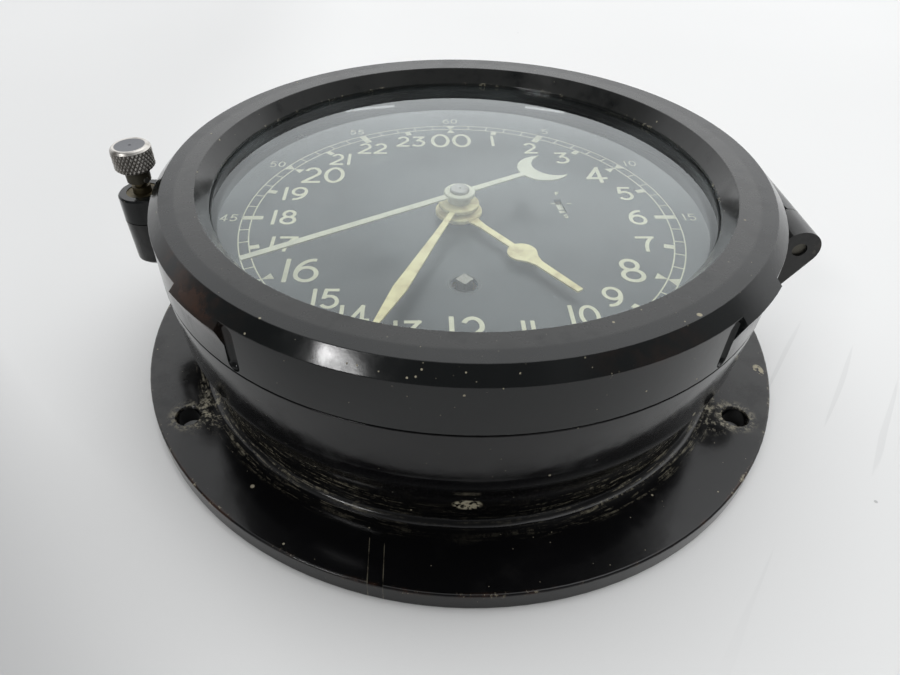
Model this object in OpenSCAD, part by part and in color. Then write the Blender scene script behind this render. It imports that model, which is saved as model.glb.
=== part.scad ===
// Bulkhead clock with a hinged bezel, a 24 hour dial and a centre seconds hand.
// The clock lies on its back: +Z points out of the dial, +Y to the top of the dial.
// The origin is the centre of the flange's back face.

/* [Case] */
// Outer diameter of the mounting flange
flange_d = 196.8; // [190:0.2:240]
// Thickness of the flange and of the case floor
flange_t = 5.7; // [4:0.1:9]
// Outer diameter of the case at the joint with the bezel
barrel_d = 171.4; // [166:0.2:182]
// Outer diameter of the narrow waist above the flange
waist_d = 159; // [156:0.2:164]
// Height of the joint between the case and the bezel
joint_z = 45.4; // [44:0.1:60]
// Wall of the case
case_wall = 4.7; // [3:0.1:6]
// Diameter of the circle of mounting holes
mount_pcd = 180; // [176:0.5:184]
// Diameter of the three mounting holes
mount_hole_d = 6.4; // [4:0.1:8]

/* [Bezel] */
// Height of the bezel above the joint
bezel_h = 16.95; // [16:0.05:24]
// Gap between the case and the closed bezel
joint_gap = 0.3; // [0.1:0.05:0.6]
// Diameter of the opening that shows the dial
sight_d = 140.8; // [130:0.2:144]
// Diameter of the inner edge of the flat top ring
flat_in_d = 146.9; // [144:0.1:156]
// Width of the chamfer round the outer edge
outer_chamfer = 3.25; // [1:0.05:4]
// Rise of the domed glass
glass_rise = 5; // [3:0.1:6]
// Thickness of the glass
glass_t = 2.5; // [1.6:0.1:3]

/* [Hinge and latch] */
// Distance of the hinge pin from the dial's axis
hinge_x = 92.5; // [92:0.1:100]
// Radius of the hinge knuckle and ears
knuckle_r = 5.6; // [4:0.1:6.2]
// Width of the hinge over both ears
hinge_w = 40; // [30:0.5:60]
// Width of the middle knuckle
knuckle_w = 14.8; // [8:0.2:20]
// Diameter of the hinge pin
pin_d = 4; // [2.5:0.1:5]
// Distance of the latch screw from the dial's axis
latch_x = 92.8; // [92:0.1:96]
// Radius of the latch lugs
lug_r = 7; // [6:0.1:8]
// Height of the bezel's latch lug
lug_h = 7.6; // [7:0.1:10]
// Diameter of the knurled knob
knob_d = 11.4; // [9:0.1:16]
// Height of the knurled knob
knob_h = 7; // [5:0.1:10]
// Height of the knob's underside above the latch lug
neck_h = 7.3; // [5:0.1:10]
// Travel of the latch screw
latch_lift = 4; // [2:0.1:4]

/* [Dial and hands] */
// Height of the dial's face
dial_z = 43.83; // [42:0.01:58]
// Thickness of the dial plate
dial_t = 0.8; // [0.5:0.1:1.2]
// Distance of the winding hole below the centre
winding_r = 33; // [32:0.1:36]
// Length of the hour hand
hour_len = 48.5; // [40:0.5:52]
// Length of the minute hand
minute_len = 62; // [56:0.5:64]
// Length of the seconds hand
second_len = 66.5; // [60:0.5:67]
// Time shown, hours
show_h = 9; // [0:1:23]
// Time shown, minutes
show_m = 33; // [0:1:59]
// Time shown, seconds
show_s = 40; // [0:1:59]

/* [Movement] */
// Height of the back plate above the case floor
plate_lift = 2.8; // [2:0.1:4]
// Thickness of the movement plates
plate_t = 2; // [1.5:0.1:2.5]
// Distance between the movement plates
plate_gap = 21.5; // [21.5:0.1:24]
// Radius of the front plate
front_plate_r = 54; // [52:0.5:58]
// Running clearance of pivots and pipes, on the radius
run = 0.09; // [0.03:0.01:0.1]

/* [Hidden] */
$fn = 96;
eps = 0.01;
seat = 0.02;

// Colours
black = "#17171a";
brass = "#b08d4a";
steel = "#8d9096";
lume = "#d7d5be";
rubber = "#2b2b2e";
blued = "#39415c";

// Case radii and heights
flange_r = flange_d / 2;
barrel_r = barrel_d / 2;
waist_r = waist_d / 2;
mouth_r = barrel_r - case_wall;
cavity_r = waist_r - case_wall + 0.2;
flange_edge = 0.6;
cove_r = 2.4;
case_taper = 1.3;
taper_r = barrel_r - case_taper;
sweep_top = joint_z - 15.4;
sweep_bottom = flange_t + 6.3;
sweep_drop = sweep_top - sweep_bottom;
sweep_shift = taper_r - waist_r;
sweep_a = 2 * atan(sweep_shift / sweep_drop);
sweep_r = sweep_drop / (2 * sin(sweep_a));
cavity_step_low = sweep_bottom + 2;
cavity_step_high = sweep_top - 1;
channel_x = [-23.8, -20.2];
channel_t = 0.2;
panel_in_r = 84.3;
panel_corner_r = 2;
back_recess_r = 62;
back_recess_t = 1.5;
mount_angles = [-150, -30, 90];
mount_edge = 0.6;
dial_boss_r = 4.2;
dial_boss_at = mouth_r - 4.3;
dial_boss_angles = [45, 135, 225, 315];
dial_back = dial_z - dial_t;
winding_hole_r = 3.5;
eyelet_r = 4.55;
eyelet_back = 0.6;
eyelet_proud = 0.12;
gasket_in = mouth_r + 0.9;
gasket_out = barrel_r - 2.3;
gasket_t = 1.2;
floor_boss_r = 5;
movement_screw_at = front_plate_r + 4;
movement_screw_angles = [30, 150, 250];

// Bezel radii and heights
bezel_z = joint_z + joint_gap;
bezel_top = joint_z + joint_gap + bezel_h;
sight_r = sight_d / 2;
flat_in_r = flat_in_d / 2;
bevel_h = 4.55;
edge_round = 0.35;
bevel_lip = 0.7;
glass_seat_z = bezel_top - bevel_h - bevel_lip;
glass_gasket_t = 0.3;
glass_r = sight_r + 2.7;
glass_pocket_r = glass_r + 0.2;
skirt_in_r = mouth_r + 0.5;
dome_curve = (sight_r * sight_r + glass_rise * glass_rise) / (2 * glass_rise);
dome_z = glass_seat_z - glass_gasket_t + glass_rise - dome_curve;
lip_z = dome_z + sqrt((dome_curve - glass_t) ^ 2 - glass_r ^ 2) - seat;
ring_t = 1.1;
ring_in = sight_r + 0.5;
ring_out = skirt_in_r - 0.9;
ring_screw_at = (glass_pocket_r + ring_out) / 2;
ring_screw_count = 6;
flute_angles = [-127.9, -50.5, 50.5, 127.9];
flute_r = 1.9;
flute_low = bezel_z + 2.2;
flute_high = bezel_top - outer_chamfer - 2.1;
pad_angle = 12.4;
pad_start = 1.3;
pad_proud = 1.6;
pad_low = bezel_top - outer_chamfer - 7;

// Hinge and latch
hinge_z = joint_z + 0.2;
pin_r = pin_d / 2;
pin_recess = 0.8;
ear_gap = 0.3;
ear_lean = 33;
lug_top = bezel_z + lug_h;
lug_low = joint_z - 14.4;
ferrule_r = 4.6;
ferrule_t = 1.2;
stem_r = 2.6;
shank_r = 1.75;
thread_gap = 0.35;
shank_tip = joint_z - latch_lift;
clip_r = 4;
clip_t = 0.8;
clip_z = lug_top - ferrule_t - 0.3 - latch_lift - clip_t;
groove_r = 2.2;
groove_gap = 0.1;
pocket_r = ferrule_r + 0.1;
knob_z = lug_top + neck_h;
collar_z = lug_top + 1.9;
insert_r = 3.6;
insert_low = shank_tip - 5;
pin_turn = -35;
stem_pin_r = 0.8;
stem_pin_z = (collar_z + knob_z) / 2 - 0.3;

// Movement heights
back_z = flange_t + plate_lift;
inner_z = back_z + plate_t;
front_z = inner_z + plate_gap;
front_top = front_z + plate_t;
back_plate_r = front_plate_r + 8;
pillar_r = 3;
pillar_at = 48;
pillar_angles = [45, 135, 225, 315];
pivot_r = 0.5;
arbor_r = 1.1;
arbor_end = 0.2;

// Tooth counts and modules
barrel_teeth = 96;
inter_pinion_teeth = 12;
inter_teeth = 72;
centre_pinion_teeth = 12;
centre_teeth = 80;
third_pinion_teeth = 10;
third_teeth = 75;
fourth_pinion_teeth = 10;
fourth_teeth = 80;
escape_pinion_teeth = 8;
escape_teeth = 15;
cannon_teeth = 10;
minute_teeth = 60;
minute_pinion_teeth = 12;
hour_teeth = 48;
barrel_mod = 0.5;
inter_mod = 0.5;
third_mod = 0.5;
fourth_mod = 0.4;
cannon_mod = 0.6;
third_reach = third_mod * (third_teeth + fourth_pinion_teeth) / 2;
centre_mod = 2 * third_reach / (centre_teeth + third_pinion_teeth);
motion_reach = cannon_mod * (cannon_teeth + minute_teeth) / 2;
hour_mod = 2 * motion_reach / (minute_pinion_teeth + hour_teeth);

// Places of the arbors, seen from the front
function polar(r, a) = [r * cos(a), r * sin(a)];
function aim(p, q) = atan2(q[1] - p[1], q[0] - p[0]);
function reach(m, a, b) = m * (a + b) / 2;
function meet(p, rp, q, rq) =
  let (d = norm(q - p), u = (q - p) / d, a = (rp * rp - rq * rq + d * d) / (2 * d))
  p + a * u + sqrt(rp * rp - a * a) * [u[1], -u[0]];
centre_at = [0, 0];
barrel_at = [0, -winding_r];
inter_at = meet(
  centre_at, reach(inter_mod, inter_teeth, centre_pinion_teeth),
  barrel_at, reach(barrel_mod, barrel_teeth, inter_pinion_teeth)
);
third_at = polar(third_reach, 110);
fourth_at = third_at + polar(third_reach, 10);
escape_at = fourth_at + polar(reach(fourth_mod, fourth_teeth, escape_pinion_teeth), -50);
balance_at = [43.3, 7.6];
escape_r = 7.2;
pallet_at = escape_at + polar(escape_r + 2.4, aim(escape_at, balance_at));
minute_at = polar(motion_reach, 200);
slot_at = [31.6, 6.6];
slot_w = 2.3;
slot_len = 8.2;
slot_turn = 95.4;
regulator_arm = norm(balance_at - slot_at);
click_at = barrel_at + polar(13.6, -20);
click_spring_at = barrel_at + polar(17.5, 5);
cock_foot_at = [35.5, 24.5];
cock_foot_r = 5;
cock_screws_at = [cock_foot_at + polar(2.6, 125), cock_foot_at + polar(2.6, -55)];
balance_well_r = 12;
bridge_posts = [[-13, -2], [12, -4]];
// The fourth pinion follows the third wheel, whose tooth faces the centre
fourth_pinion_turn = aim(fourth_at, third_at) + 180 / fourth_pinion_teeth
  - (aim(third_at, centre_at) - aim(third_at, fourth_at)) * third_teeth / fourth_pinion_teeth;

// Heights of the wheels
barrel_z = inner_z + 0.9;
barrel_h = 9.2;
barrel_gear_t = 1.4;
barrel_top = barrel_z + barrel_h;
inter_z = barrel_top + 2;
bridge_z = inner_z + 7.8;
bridge_t = 1.3;
third_z = inner_z + 5.5;
fourth_z = inner_z + 9.5;
escape_z = inner_z + 13.1;
centre_z = inner_z + 16.5;
balance_z = inner_z + 18.1;
wheel_t = 0.9;
cock_t = 2;
cock_boss_r = 2.6;
cock_boss_h = 0.7;
pallet_bridge_z = escape_z + 2;
pallet_bridge_t = 1.4;
pallet_post_at = 7.5;
pallet_post_r = 1.6;

// Drum and spring
drum_r = 22.6;
drum_wall = 1.1;
drum_floor = 0.8;
cover_t = 0.8;
core_r = 4.5;
journal_r = 2.8;
square_w = 3.4;
ratchet_r = 9;
ratchet_teeth = 24;
ratchet_t = 1.6;

// Motion work heights and pipe radii
motion_z = front_top + 0.5;
cannon_h = 2;
minute_z = motion_z + 0.4;
hour_z = motion_z + 3;
sweep_r_arbor = 0.9;
tube_in = sweep_r_arbor + run;
tube_out = 1.7;
cannon_out = 2.6;
hour_pipe_in = cannon_out + run;
hour_pipe_out = 3.5;

// Hand heights above the dial's face and hub radii
hour_hand_z = dial_z + 0.8;
hub_gap = 0.3;
hour_hub_r = 6.9;
hour_hub_h = 2.2;
minute_hand_z = hour_hand_z + hour_hub_h + hub_gap;
minute_hub_r = 5.95;
minute_hub_h = 2.2;
second_hand_z = minute_hand_z + minute_hub_h + hub_gap;
second_hub_r = 4.55;
second_hub_h = 3.3;
cap_r = 2.8;
hub_disc_t = 1.1;
hub_neck = 1.6;
blade_t = 0.5;
minute_turn = 6 * (show_m + show_s / 60);
hour_turn = 15 * (show_h + show_m / 60 + show_s / 3600);
second_turn = 6 * show_s;

// Points along an arc, without its first point
function arc(c, r, a0, a1, n) = [for (i = [1 : n]) c + polar(r, a0 + (a1 - a0) * i / n)];

// Outline whose corners [x, y, r] are rounded with radius r
function rounded(p, n = 4) = let (m = len(p)) [
  for (i = [0 : m - 1])
    let (
      q = [p[i][0], p[i][1]], r = p[i][2],
      before = [p[(i + m - 1) % m][0], p[(i + m - 1) % m][1]] - q,
      after = [p[(i + 1) % m][0], p[(i + 1) % m][1]] - q,
      u = before / norm(before), v = after / norm(after), open = acos(u * v),
      c = q + (u + v) / norm(u + v) * r / sin(open / 2),
      a = q + u * r / tan(open / 2) - c, b = q + v * r / tan(open / 2) - c, turn = 180 - open
    )
    for (k = [0 : r > 0 ? n : 0])
      r > 0 ? c + (sin(turn * (1 - k / n)) * a + sin(turn * k / n) * b) / sin(turn) : q
];

// Tooth outline: root, flank, tip, tip, flank, root for each tooth
function tooth_points(n, m) =
  let (r = n * m / 2, p = 360 / n)
  [for (i = [0 : n - 1])
    for (k = [[-0.28, -1.15], [-0.2, 0], [-0.09, 0.8], [0.09, 0.8], [0.2, 0], [0.28, -1.15]])
      polar(r + k[1] * m, (i + k[0]) * p)];

// Radius that makes a twelve-sided hole clear a round shaft
function twelve(r) = (r + seat) / cos(15);

// Outline of one window between two spokes
function window_points(r_in, r_out, a, gap_in, gap_out) = concat(
  [for (k = [0 : 4]) polar(r_out, gap_out + (a - 2 * gap_out) * k / 4)],
  [for (k = [4 : -1 : 0]) polar(r_in, gap_in + (a - 2 * gap_in) * k / 4)]
);

// Flat strip wound in a spiral of the given turns
function spiral_points(r0, r1, turns, w, steps) =
  let (n = turns * steps)
  concat(
    [for (i = [0 : n]) polar(r0 + (r1 - r0) * i / n + w / 2, 360 * i / steps)],
    [for (i = [n : -1 : 0]) polar(r0 + (r1 - r0) * i / n - w / 2, 360 * i / steps)]
  );

module place(p, z = 0, a = 0) translate([p[0], p[1], z]) rotate([0, 0, a]) children();

module ring(r_out, r_in, h) {
  difference() {
    cylinder(r = r_out, h = h);
    translate([0, 0, -1]) cylinder(r = r_in, h = h + 2);
  }
}

module toothed(n, m, h) linear_extrude(h) polygon(tooth_points(n, m));

// Wheel with its pinion, both flat-faced; the wheel has five spokes
module wheel_and_pinion(n, m, t, pn, pm, z_wheel, z_pinion, h_pinion, wheel_a, pinion_a, bore) {
  rim = n * m / 2 - 3.2 * m;
  hub = pn * pm / 2 + 1.6;
  difference() {
    union() {
      translate([0, 0, z_wheel]) rotate([0, 0, wheel_a]) difference() {
        toothed(n, m, t);
        for (i = [0 : 4]) rotate([0, 0, 72 * i]) translate([0, 0, -1])
          linear_extrude(t + 2) polygon(window_points(hub, rim, 72, 800 / hub / 10, 80 / rim));
      }
      translate([0, 0, z_pinion]) rotate([0, 0, pinion_a]) toothed(pn, pm, h_pinion);
    }
    translate([0, 0, min(z_wheel, z_pinion) - 1])
      cylinder(r = twelve(bore), h = plate_gap, $fn = 12);
  }
}

module plain_arbor(r = arbor_r, pivot = pivot_r) {
  translate([0, 0, inner_z + arbor_end]) cylinder(r = r, h = plate_gap - 2 * arbor_end);
  translate([0, 0, back_z + arbor_end]) cylinder(r = pivot, h = plate_gap + 2 * plate_t - 2 * arbor_end);
}

module slotted_screw(head_r, head_h, shank, length) {
  difference() {
    cylinder(r = head_r, h = head_h);
    translate([-head_r - 1, -0.3, head_h / 2]) cube([2 * head_r + 2, 0.6, head_h]);
  }
  translate([0, 0, -length]) cylinder(r = shank, h = length + eps);
}

// Case

module case_solid_2d() {
  polygon(concat(
    rounded([
      [0, 0, 0], [flange_r, 0, 0.5], [flange_r, flange_t, flange_edge], [waist_r, flange_t, cove_r],
      [waist_r, sweep_bottom, 0]
    ]),
    arc([waist_r + sweep_r, sweep_bottom], sweep_r, 180, 180 - sweep_a, 10),
    arc([taper_r - sweep_r, sweep_top], sweep_r, -sweep_a, 0, 10),
    rounded([[taper_r, sweep_top, 0], [barrel_r, joint_z, 0.25], [0, joint_z, 0]])
  ));
}

module case_cavity_2d() {
  polygon([
    [0, flange_t], [cavity_r, flange_t], [cavity_r, cavity_step_low],
    [mouth_r, cavity_step_high], [mouth_r, joint_z + 1], [0, joint_z + 1]
  ]);
}

module ear(w) {
  tangent = [hinge_x + knuckle_r * cos(ear_lean), hinge_z - knuckle_r * sin(ear_lean)];
  run_in = (tangent[0] - waist_r + 1) / sin(ear_lean);
  foot = tangent - run_in * [sin(ear_lean), cos(ear_lean)];
  translate([0, w / 2, 0]) rotate([90, 0, 0]) linear_extrude(w) union() {
    translate([hinge_x, hinge_z]) circle(r = knuckle_r);
    polygon([
      tangent, foot, [mouth_r - 6, foot[1]], [mouth_r - 6, joint_z],
      [hinge_x - knuckle_r, joint_z], [hinge_x, hinge_z]
    ]);
  }
}

module hinge_ears() {
  ear_w = (hinge_w - knuckle_w) / 2 - ear_gap;
  for (s = [-1, 1]) translate([0, s * (hinge_w - ear_w) / 2, 0]) ear(ear_w);
}

module case_lug() {
  h = joint_z - lug_low;
  translate([-latch_x, 0, lug_low]) cylinder(r1 = lug_r - 1.6, r2 = lug_r - 0.4, h = 1.2);
  translate([-latch_x, 0, lug_low + 1.2]) cylinder(r1 = lug_r - 0.4, r2 = lug_r, h = h - 1.2);
  translate([-latch_x, -lug_r + 0.4, lug_low + 1.2])
    cube([latch_x - mouth_r + 6, 2 * lug_r - 0.8, h - 1.2]);
}

// Shallow channel in the flange's front face and the step beside the cove, round the panel's corner
module flange_channel() {
  edge_y = -flange_r - 1;
  corner_y = -sqrt(panel_in_r * panel_in_r - channel_x[0] * channel_x[0]);
  foot_r = waist_r + cove_r + 0.1;
  panel_a = [-130, -108];
  foot_a = [-133, -99];
  translate([0, 0, flange_t - channel_t]) linear_extrude(channel_t + eps) polygon(concat(
    rounded([
      [channel_x[1], edge_y, 0], [channel_x[1], -foot_r, panel_corner_r],
      [foot_r * cos(foot_a[1]), foot_r * sin(foot_a[1]), 0]
    ]),
    arc([0, 0], foot_r, foot_a[1], foot_a[0], 14),
    arc([0, 0], panel_in_r, panel_a[0], panel_a[1] - 2, 10),
    rounded([
      [panel_in_r * cos(panel_a[1]), panel_in_r * sin(panel_a[1]), 0],
      [channel_x[0], corner_y, panel_corner_r], [channel_x[0], edge_y, 0]
    ])
  ));
}

module case_body() {
  color(black) difference() {
    union() {
      difference() {
        union() {
          rotate_extrude() case_solid_2d();
          hinge_ears();
          case_lug();
        }
        rotate_extrude() case_cavity_2d();
      }
      for (a = dial_boss_angles) place(polar(dial_boss_at, a), flange_t - eps)
        intersection() {
          cylinder(r = dial_boss_r, h = dial_back - flange_t + eps);
          rotate([0, 0, a]) translate([-2 * dial_boss_r, -dial_boss_r, 0])
            cube([2 * dial_boss_r + waist_r - 1 - dial_boss_at, 2 * dial_boss_r, dial_back]);
        }
      for (a = movement_screw_angles) place(polar(movement_screw_at, a), flange_t - eps)
        cylinder(r = floor_boss_r, h = plate_lift + eps);
    }
    translate([0, 0, -1]) cylinder(r = back_recess_r, h = back_recess_t + 1);
    flange_channel();
    for (a = mount_angles) place(polar(mount_pcd / 2, a)) {
      translate([0, 0, -1]) cylinder(r = mount_hole_d / 2, h = flange_t + 2);
      translate([0, 0, flange_t - mount_edge])
        cylinder(r1 = mount_hole_d / 2, r2 = mount_hole_d / 2 + mount_edge + 0.1, h = mount_edge + 0.1);
    }
    translate([0, 0, joint_z - gasket_t]) ring(gasket_out, gasket_in, gasket_t + 1);
    for (a = dial_boss_angles) place(polar(dial_boss_at, a), dial_back - 7)
      cylinder(r = 1.25, h = 8);
    for (a = movement_screw_angles) place(polar(movement_screw_at, a), back_z - 5)
      cylinder(r = 1.55, h = 6);
    translate([hinge_x, hinge_w, hinge_z]) rotate([90, 0, 0])
      cylinder(r = pin_r + seat, h = 2 * hinge_w);
    translate([-latch_x, 0, insert_low]) cylinder(r = insert_r + seat, h = joint_z);
  }
}

module latch_insert() {
  color(brass) translate([-latch_x, 0, insert_low + seat]) difference() {
    cylinder(r = insert_r, h = joint_z - 0.2 - insert_low);
    translate([0, 0, 1.5]) cylinder(r = shank_r + thread_gap, h = joint_z);
  }
}

module hinge_pin() {
  color(steel) translate([hinge_x, hinge_w / 2 - pin_recess, hinge_z]) rotate([90, 0, 0])
    cylinder(r = pin_r, h = hinge_w - 2 * pin_recess);
}

module rim_gasket() {
  color(rubber) translate([0, 0, joint_z - gasket_t])
    ring(gasket_out - 0.05, gasket_in + 0.05, gasket_t);
}

// Movement frame

module back_plate() {
  color(brass) difference() {
    translate([0, 0, back_z]) cylinder(r = back_plate_r, h = plate_t);
    translate([0, 0, back_z - 1]) {
      for (p = [inter_at, third_at, fourth_at, escape_at, pallet_at, balance_at])
        place(p) cylinder(r = pivot_r + run, h = plate_t + 2);
      place(centre_at) cylinder(r = sweep_r_arbor + run, h = plate_t + 2);
      place(barrel_at) cylinder(r = 2 + run, h = plate_t + 2);
      for (a = pillar_angles) place(polar(pillar_at, a)) cylinder(r = 1.6, h = plate_t + 2);
      for (a = movement_screw_angles) place(polar(movement_screw_at, a))
        cylinder(r = 1.6, h = plate_t + 2);
      for (p = bridge_posts) place(p) cylinder(r = 1.1, h = plate_t + 2);
      place(pallet_at, 0, aim(escape_at, balance_at) + 90) for (s = [-1, 1])
        translate([s * pallet_post_at, 0, 0]) cylinder(r = 1, h = plate_t + 2);
    }
  }
}

module front_plate() {
  color(brass) difference() {
    translate([0, 0, front_z]) cylinder(r = front_plate_r, h = plate_t);
    translate([0, 0, front_z - 1]) {
      for (p = [inter_at, third_at, fourth_at, escape_at])
        place(p) cylinder(r = pivot_r + run, h = plate_t + 2);
      place(centre_at) cylinder(r = tube_out + run, h = plate_t + 2);
      place(barrel_at) cylinder(r = journal_r + run, h = plate_t + 2);
      place(balance_at) cylinder(r = balance_well_r, h = plate_t + 2);
      for (a = pillar_angles) place(polar(pillar_at, a)) cylinder(r = 1.6, h = plate_t + 2);
      for (p = cock_screws_at) place(p) cylinder(r = 0.85, h = plate_t + 2);
      place(minute_at) cylinder(r = 1, h = plate_t + 2);
      place(click_at) cylinder(r = 1 + run, h = plate_t + 2);
      place(click_spring_at) cylinder(r = 0.85, h = plate_t + 2);
    }
  }
}

module plate_pillars() {
  color(brass) for (a = pillar_angles) place(polar(pillar_at, a)) difference() {
    union() {
      translate([0, 0, inner_z]) cylinder(r = pillar_r, h = plate_gap);
      translate([0, 0, back_z]) cylinder(r = 1.6 - seat, h = plate_t + eps);
    }
    translate([0, 0, front_z - 6]) cylinder(r = 1.3, h = 7);
  }
}

// Four screws into the pillars and two through the cock
module plate_screws() {
  color(blued) {
    for (a = pillar_angles) place(polar(pillar_at, a), front_top)
      slotted_screw(2.8, 1.4, 1.25, plate_t + 5);
    for (p = cock_screws_at) place(p, front_top + cock_t)
      slotted_screw(1.6, 0.9, 0.8, cock_t + plate_t);
  }
}

module movement_screws() {
  color(blued) for (a = movement_screw_angles) place(polar(movement_screw_at, a), inner_z)
    slotted_screw(2.9, 1.6, 1.5, plate_t + 4.5);
}

module centre_bridge() {
  color(brass) difference() {
    union() {
      translate([0, 0, bridge_z]) {
        cylinder(r = 4, h = bridge_t);
        for (p = bridge_posts) {
          place(p) cylinder(r = 2, h = bridge_t);
          rotate([0, 0, aim(centre_at, p)]) translate([0, -2, 0]) cube([norm(p), 4, bridge_t]);
        }
      }
      for (p = bridge_posts) {
        place(p, inner_z) cylinder(r = 1.8, h = bridge_z - inner_z + eps);
        place(p, back_z) cylinder(r = 1.1 - seat, h = plate_t + eps);
      }
    }
    translate([0, 0, bridge_z - 1]) cylinder(r = tube_out + run, h = bridge_t + 2);
  }
}

module balance_cock() {
  span = norm(balance_at - cock_foot_at);
  color(brass) difference() {
    union() {
      translate([0, 0, front_top]) {
        place(cock_foot_at) cylinder(r = cock_foot_r, h = cock_t);
        place(cock_foot_at, 0, aim(cock_foot_at, balance_at))
          linear_extrude(cock_t) polygon([[0, -3.6], [span, -2.2], [span, 2.2], [0, 3.6]]);
        place(balance_at) cylinder(r = 3.6, h = cock_t);
        place(balance_at) cylinder(r = cock_boss_r, h = cock_t + cock_boss_h);
      }
    }
    place(balance_at, front_top - 1) cylinder(r = pivot_r + run, h = cock_t + cock_boss_h + 0.8);
    for (p = cock_screws_at) place(p, front_top - 1) cylinder(r = 0.9, h = cock_t + 2);
  }
}

module pallet_bridge() {
  color(brass) place(pallet_at, 0, aim(escape_at, balance_at) + 90) difference() {
    union() {
      translate([-pallet_post_at, -2, pallet_bridge_z]) cube([2 * pallet_post_at, 4, pallet_bridge_t]);
      for (s = [-1, 1]) translate([s * pallet_post_at, 0, 0]) {
        translate([0, 0, inner_z]) cylinder(r = pallet_post_r, h = pallet_bridge_z - inner_z + eps);
        translate([0, 0, pallet_bridge_z]) cylinder(r = 2, h = pallet_bridge_t);
        translate([0, 0, back_z]) cylinder(r = 1 - seat, h = plate_t + eps);
      }
    }
    translate([0, 0, pallet_bridge_z - 1]) cylinder(r = pivot_r + run, h = pallet_bridge_t + 2);
  }
}

module hairspring() {
  outer = 6.4;
  color(blued) place(balance_at, front_z + 0.4, aim(balance_at, cock_foot_at)) {
    linear_extrude(0.5) polygon(spiral_points(1.8, outer, 7, 0.18, 24));
    translate([outer, 0, 0]) cylinder(r = 0.5, h = plate_t - 0.4);
  }
}

module minute_post() {
  color(steel) {
    place(minute_at, front_z) cylinder(r = 1 - seat, h = plate_t + eps);
    place(minute_at, front_top) cylinder(r = 1.5, h = hour_z + 1.4 - front_top);
  }
}

// Dial

module dial() {
  color("#2c3034") difference() {
    union() {
      translate([0, 0, dial_back]) cylinder(r = mouth_r - 0.6, h = dial_t);
      place(barrel_at, dial_back - eyelet_back) cylinder(r = eyelet_r, h = dial_t + eyelet_back);
      place(barrel_at, dial_z - eps) cylinder(r1 = eyelet_r, r2 = eyelet_r - 0.2, h = eyelet_proud + eps);
    }
    translate([0, 0, dial_back - 1]) {
      cylinder(r = hour_pipe_out + 0.9, h = dial_t + 2);
      place(barrel_at) cylinder(r = winding_hole_r, h = dial_t + 2);
      place(slot_at, 0, slot_turn) linear_extrude(dial_t + 2) square([slot_len, slot_w], center = true);
      for (a = dial_boss_angles) place(polar(dial_boss_at, a)) cylinder(r = 1.3, h = dial_t + 2);
    }
  }
}

module dial_screws() {
  color(steel) for (a = dial_boss_angles) place(polar(dial_boss_at, a), dial_z)
    slotted_screw(2.1, 1, 1.2, dial_t + 5);
}

// Bezel

module bezel_2d() {
  polygon(rounded([
    [barrel_r, bezel_z, 0.25], [barrel_r, bezel_top - outer_chamfer, edge_round],
    [barrel_r - outer_chamfer, bezel_top, edge_round], [flat_in_r, bezel_top, edge_round],
    [sight_r, bezel_top - bevel_h, edge_round], [sight_r, glass_seat_z, 0],
    [glass_pocket_r, glass_seat_z, 0], [glass_pocket_r, lip_z, 0],
    [skirt_in_r, lip_z, 0], [skirt_in_r, bezel_z, 0]
  ]));
}

module pad_2d() {
  edge_z = bezel_top - outer_chamfer;
  polygon([
    [barrel_r - 1, pad_low], [barrel_r - 0.05, pad_low],
    [barrel_r + pad_proud, edge_z - pad_proud], [barrel_r - 1, edge_z + 1]
  ]);
}

module flute() {
  translate([barrel_r + 0.2, 0, flute_low]) cylinder(r = flute_r, h = flute_high - flute_low);
  translate([barrel_r + 0.2, 0, flute_low]) sphere(r = flute_r);
  translate([barrel_r + 0.2, 0, flute_high]) sphere(r = flute_r);
}

module bezel_knuckle() {
  translate([0, knuckle_w / 2, 0]) rotate([90, 0, 0]) linear_extrude(knuckle_w) union() {
    translate([hinge_x, hinge_z]) circle(r = knuckle_r);
    polygon([
      [barrel_r - 2, bezel_z], [hinge_x, bezel_z], [hinge_x, hinge_z + knuckle_r],
      [barrel_r - 2, bezel_top - outer_chamfer - 1.5]
    ]);
  }
}

module bezel_lug() {
  translate([-latch_x, 0, bezel_z]) cylinder(r = lug_r, h = lug_h - 0.5);
  translate([-latch_x, 0, lug_top - 0.5]) cylinder(r1 = lug_r, r2 = lug_r - 0.5, h = 0.5);
  translate([-latch_x, -lug_r + 0.5, bezel_z]) cube([latch_x - barrel_r + 2.5, 2 * lug_r - 1, lug_h]);
}

module bezel() {
  color(black) difference() {
    union() {
      rotate_extrude() bezel_2d();
      for (a = flute_angles) {
        outward = (a == flute_angles[0] || a == flute_angles[2]) ? -1 : 1;
        start = outward > 0 ? a + pad_start : a - pad_start - pad_angle;
        rotate([0, 0, start]) rotate_extrude(angle = pad_angle) pad_2d();
      }
      bezel_knuckle();
      bezel_lug();
    }
    for (a = flute_angles) rotate([0, 0, a]) flute();
    translate([hinge_x, hinge_w, hinge_z]) rotate([90, 0, 0])
      cylinder(r = pin_r + run, h = 2 * hinge_w);
    translate([-latch_x, 0, bezel_z - 1]) cylinder(r = pocket_r, h = lug_h - ferrule_t + 1);
    translate([-latch_x, 0, bezel_z]) cylinder(r = ferrule_r + seat, h = lug_h + 1);
    for (i = [0 : ring_screw_count - 1]) place(polar(ring_screw_at, 60 * i + 30), lip_z - 1)
      cylinder(r = 1.1, h = 5.5);
  }
}

module glass() {
  color([0.8, 0.85, 0.85, 0.3]) rotate_extrude() intersection() {
    difference() {
      translate([0, dome_z]) circle(r = dome_curve, $fn = 720);
      translate([0, dome_z]) circle(r = dome_curve - glass_t, $fn = 720);
    }
    translate([0, lip_z]) square([glass_r, glass_t + glass_rise + 1]);
  }
}

// Height of the glass's outer face at radius r
function dome_at(r) = dome_z + sqrt(dome_curve * dome_curve - r * r);

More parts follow.
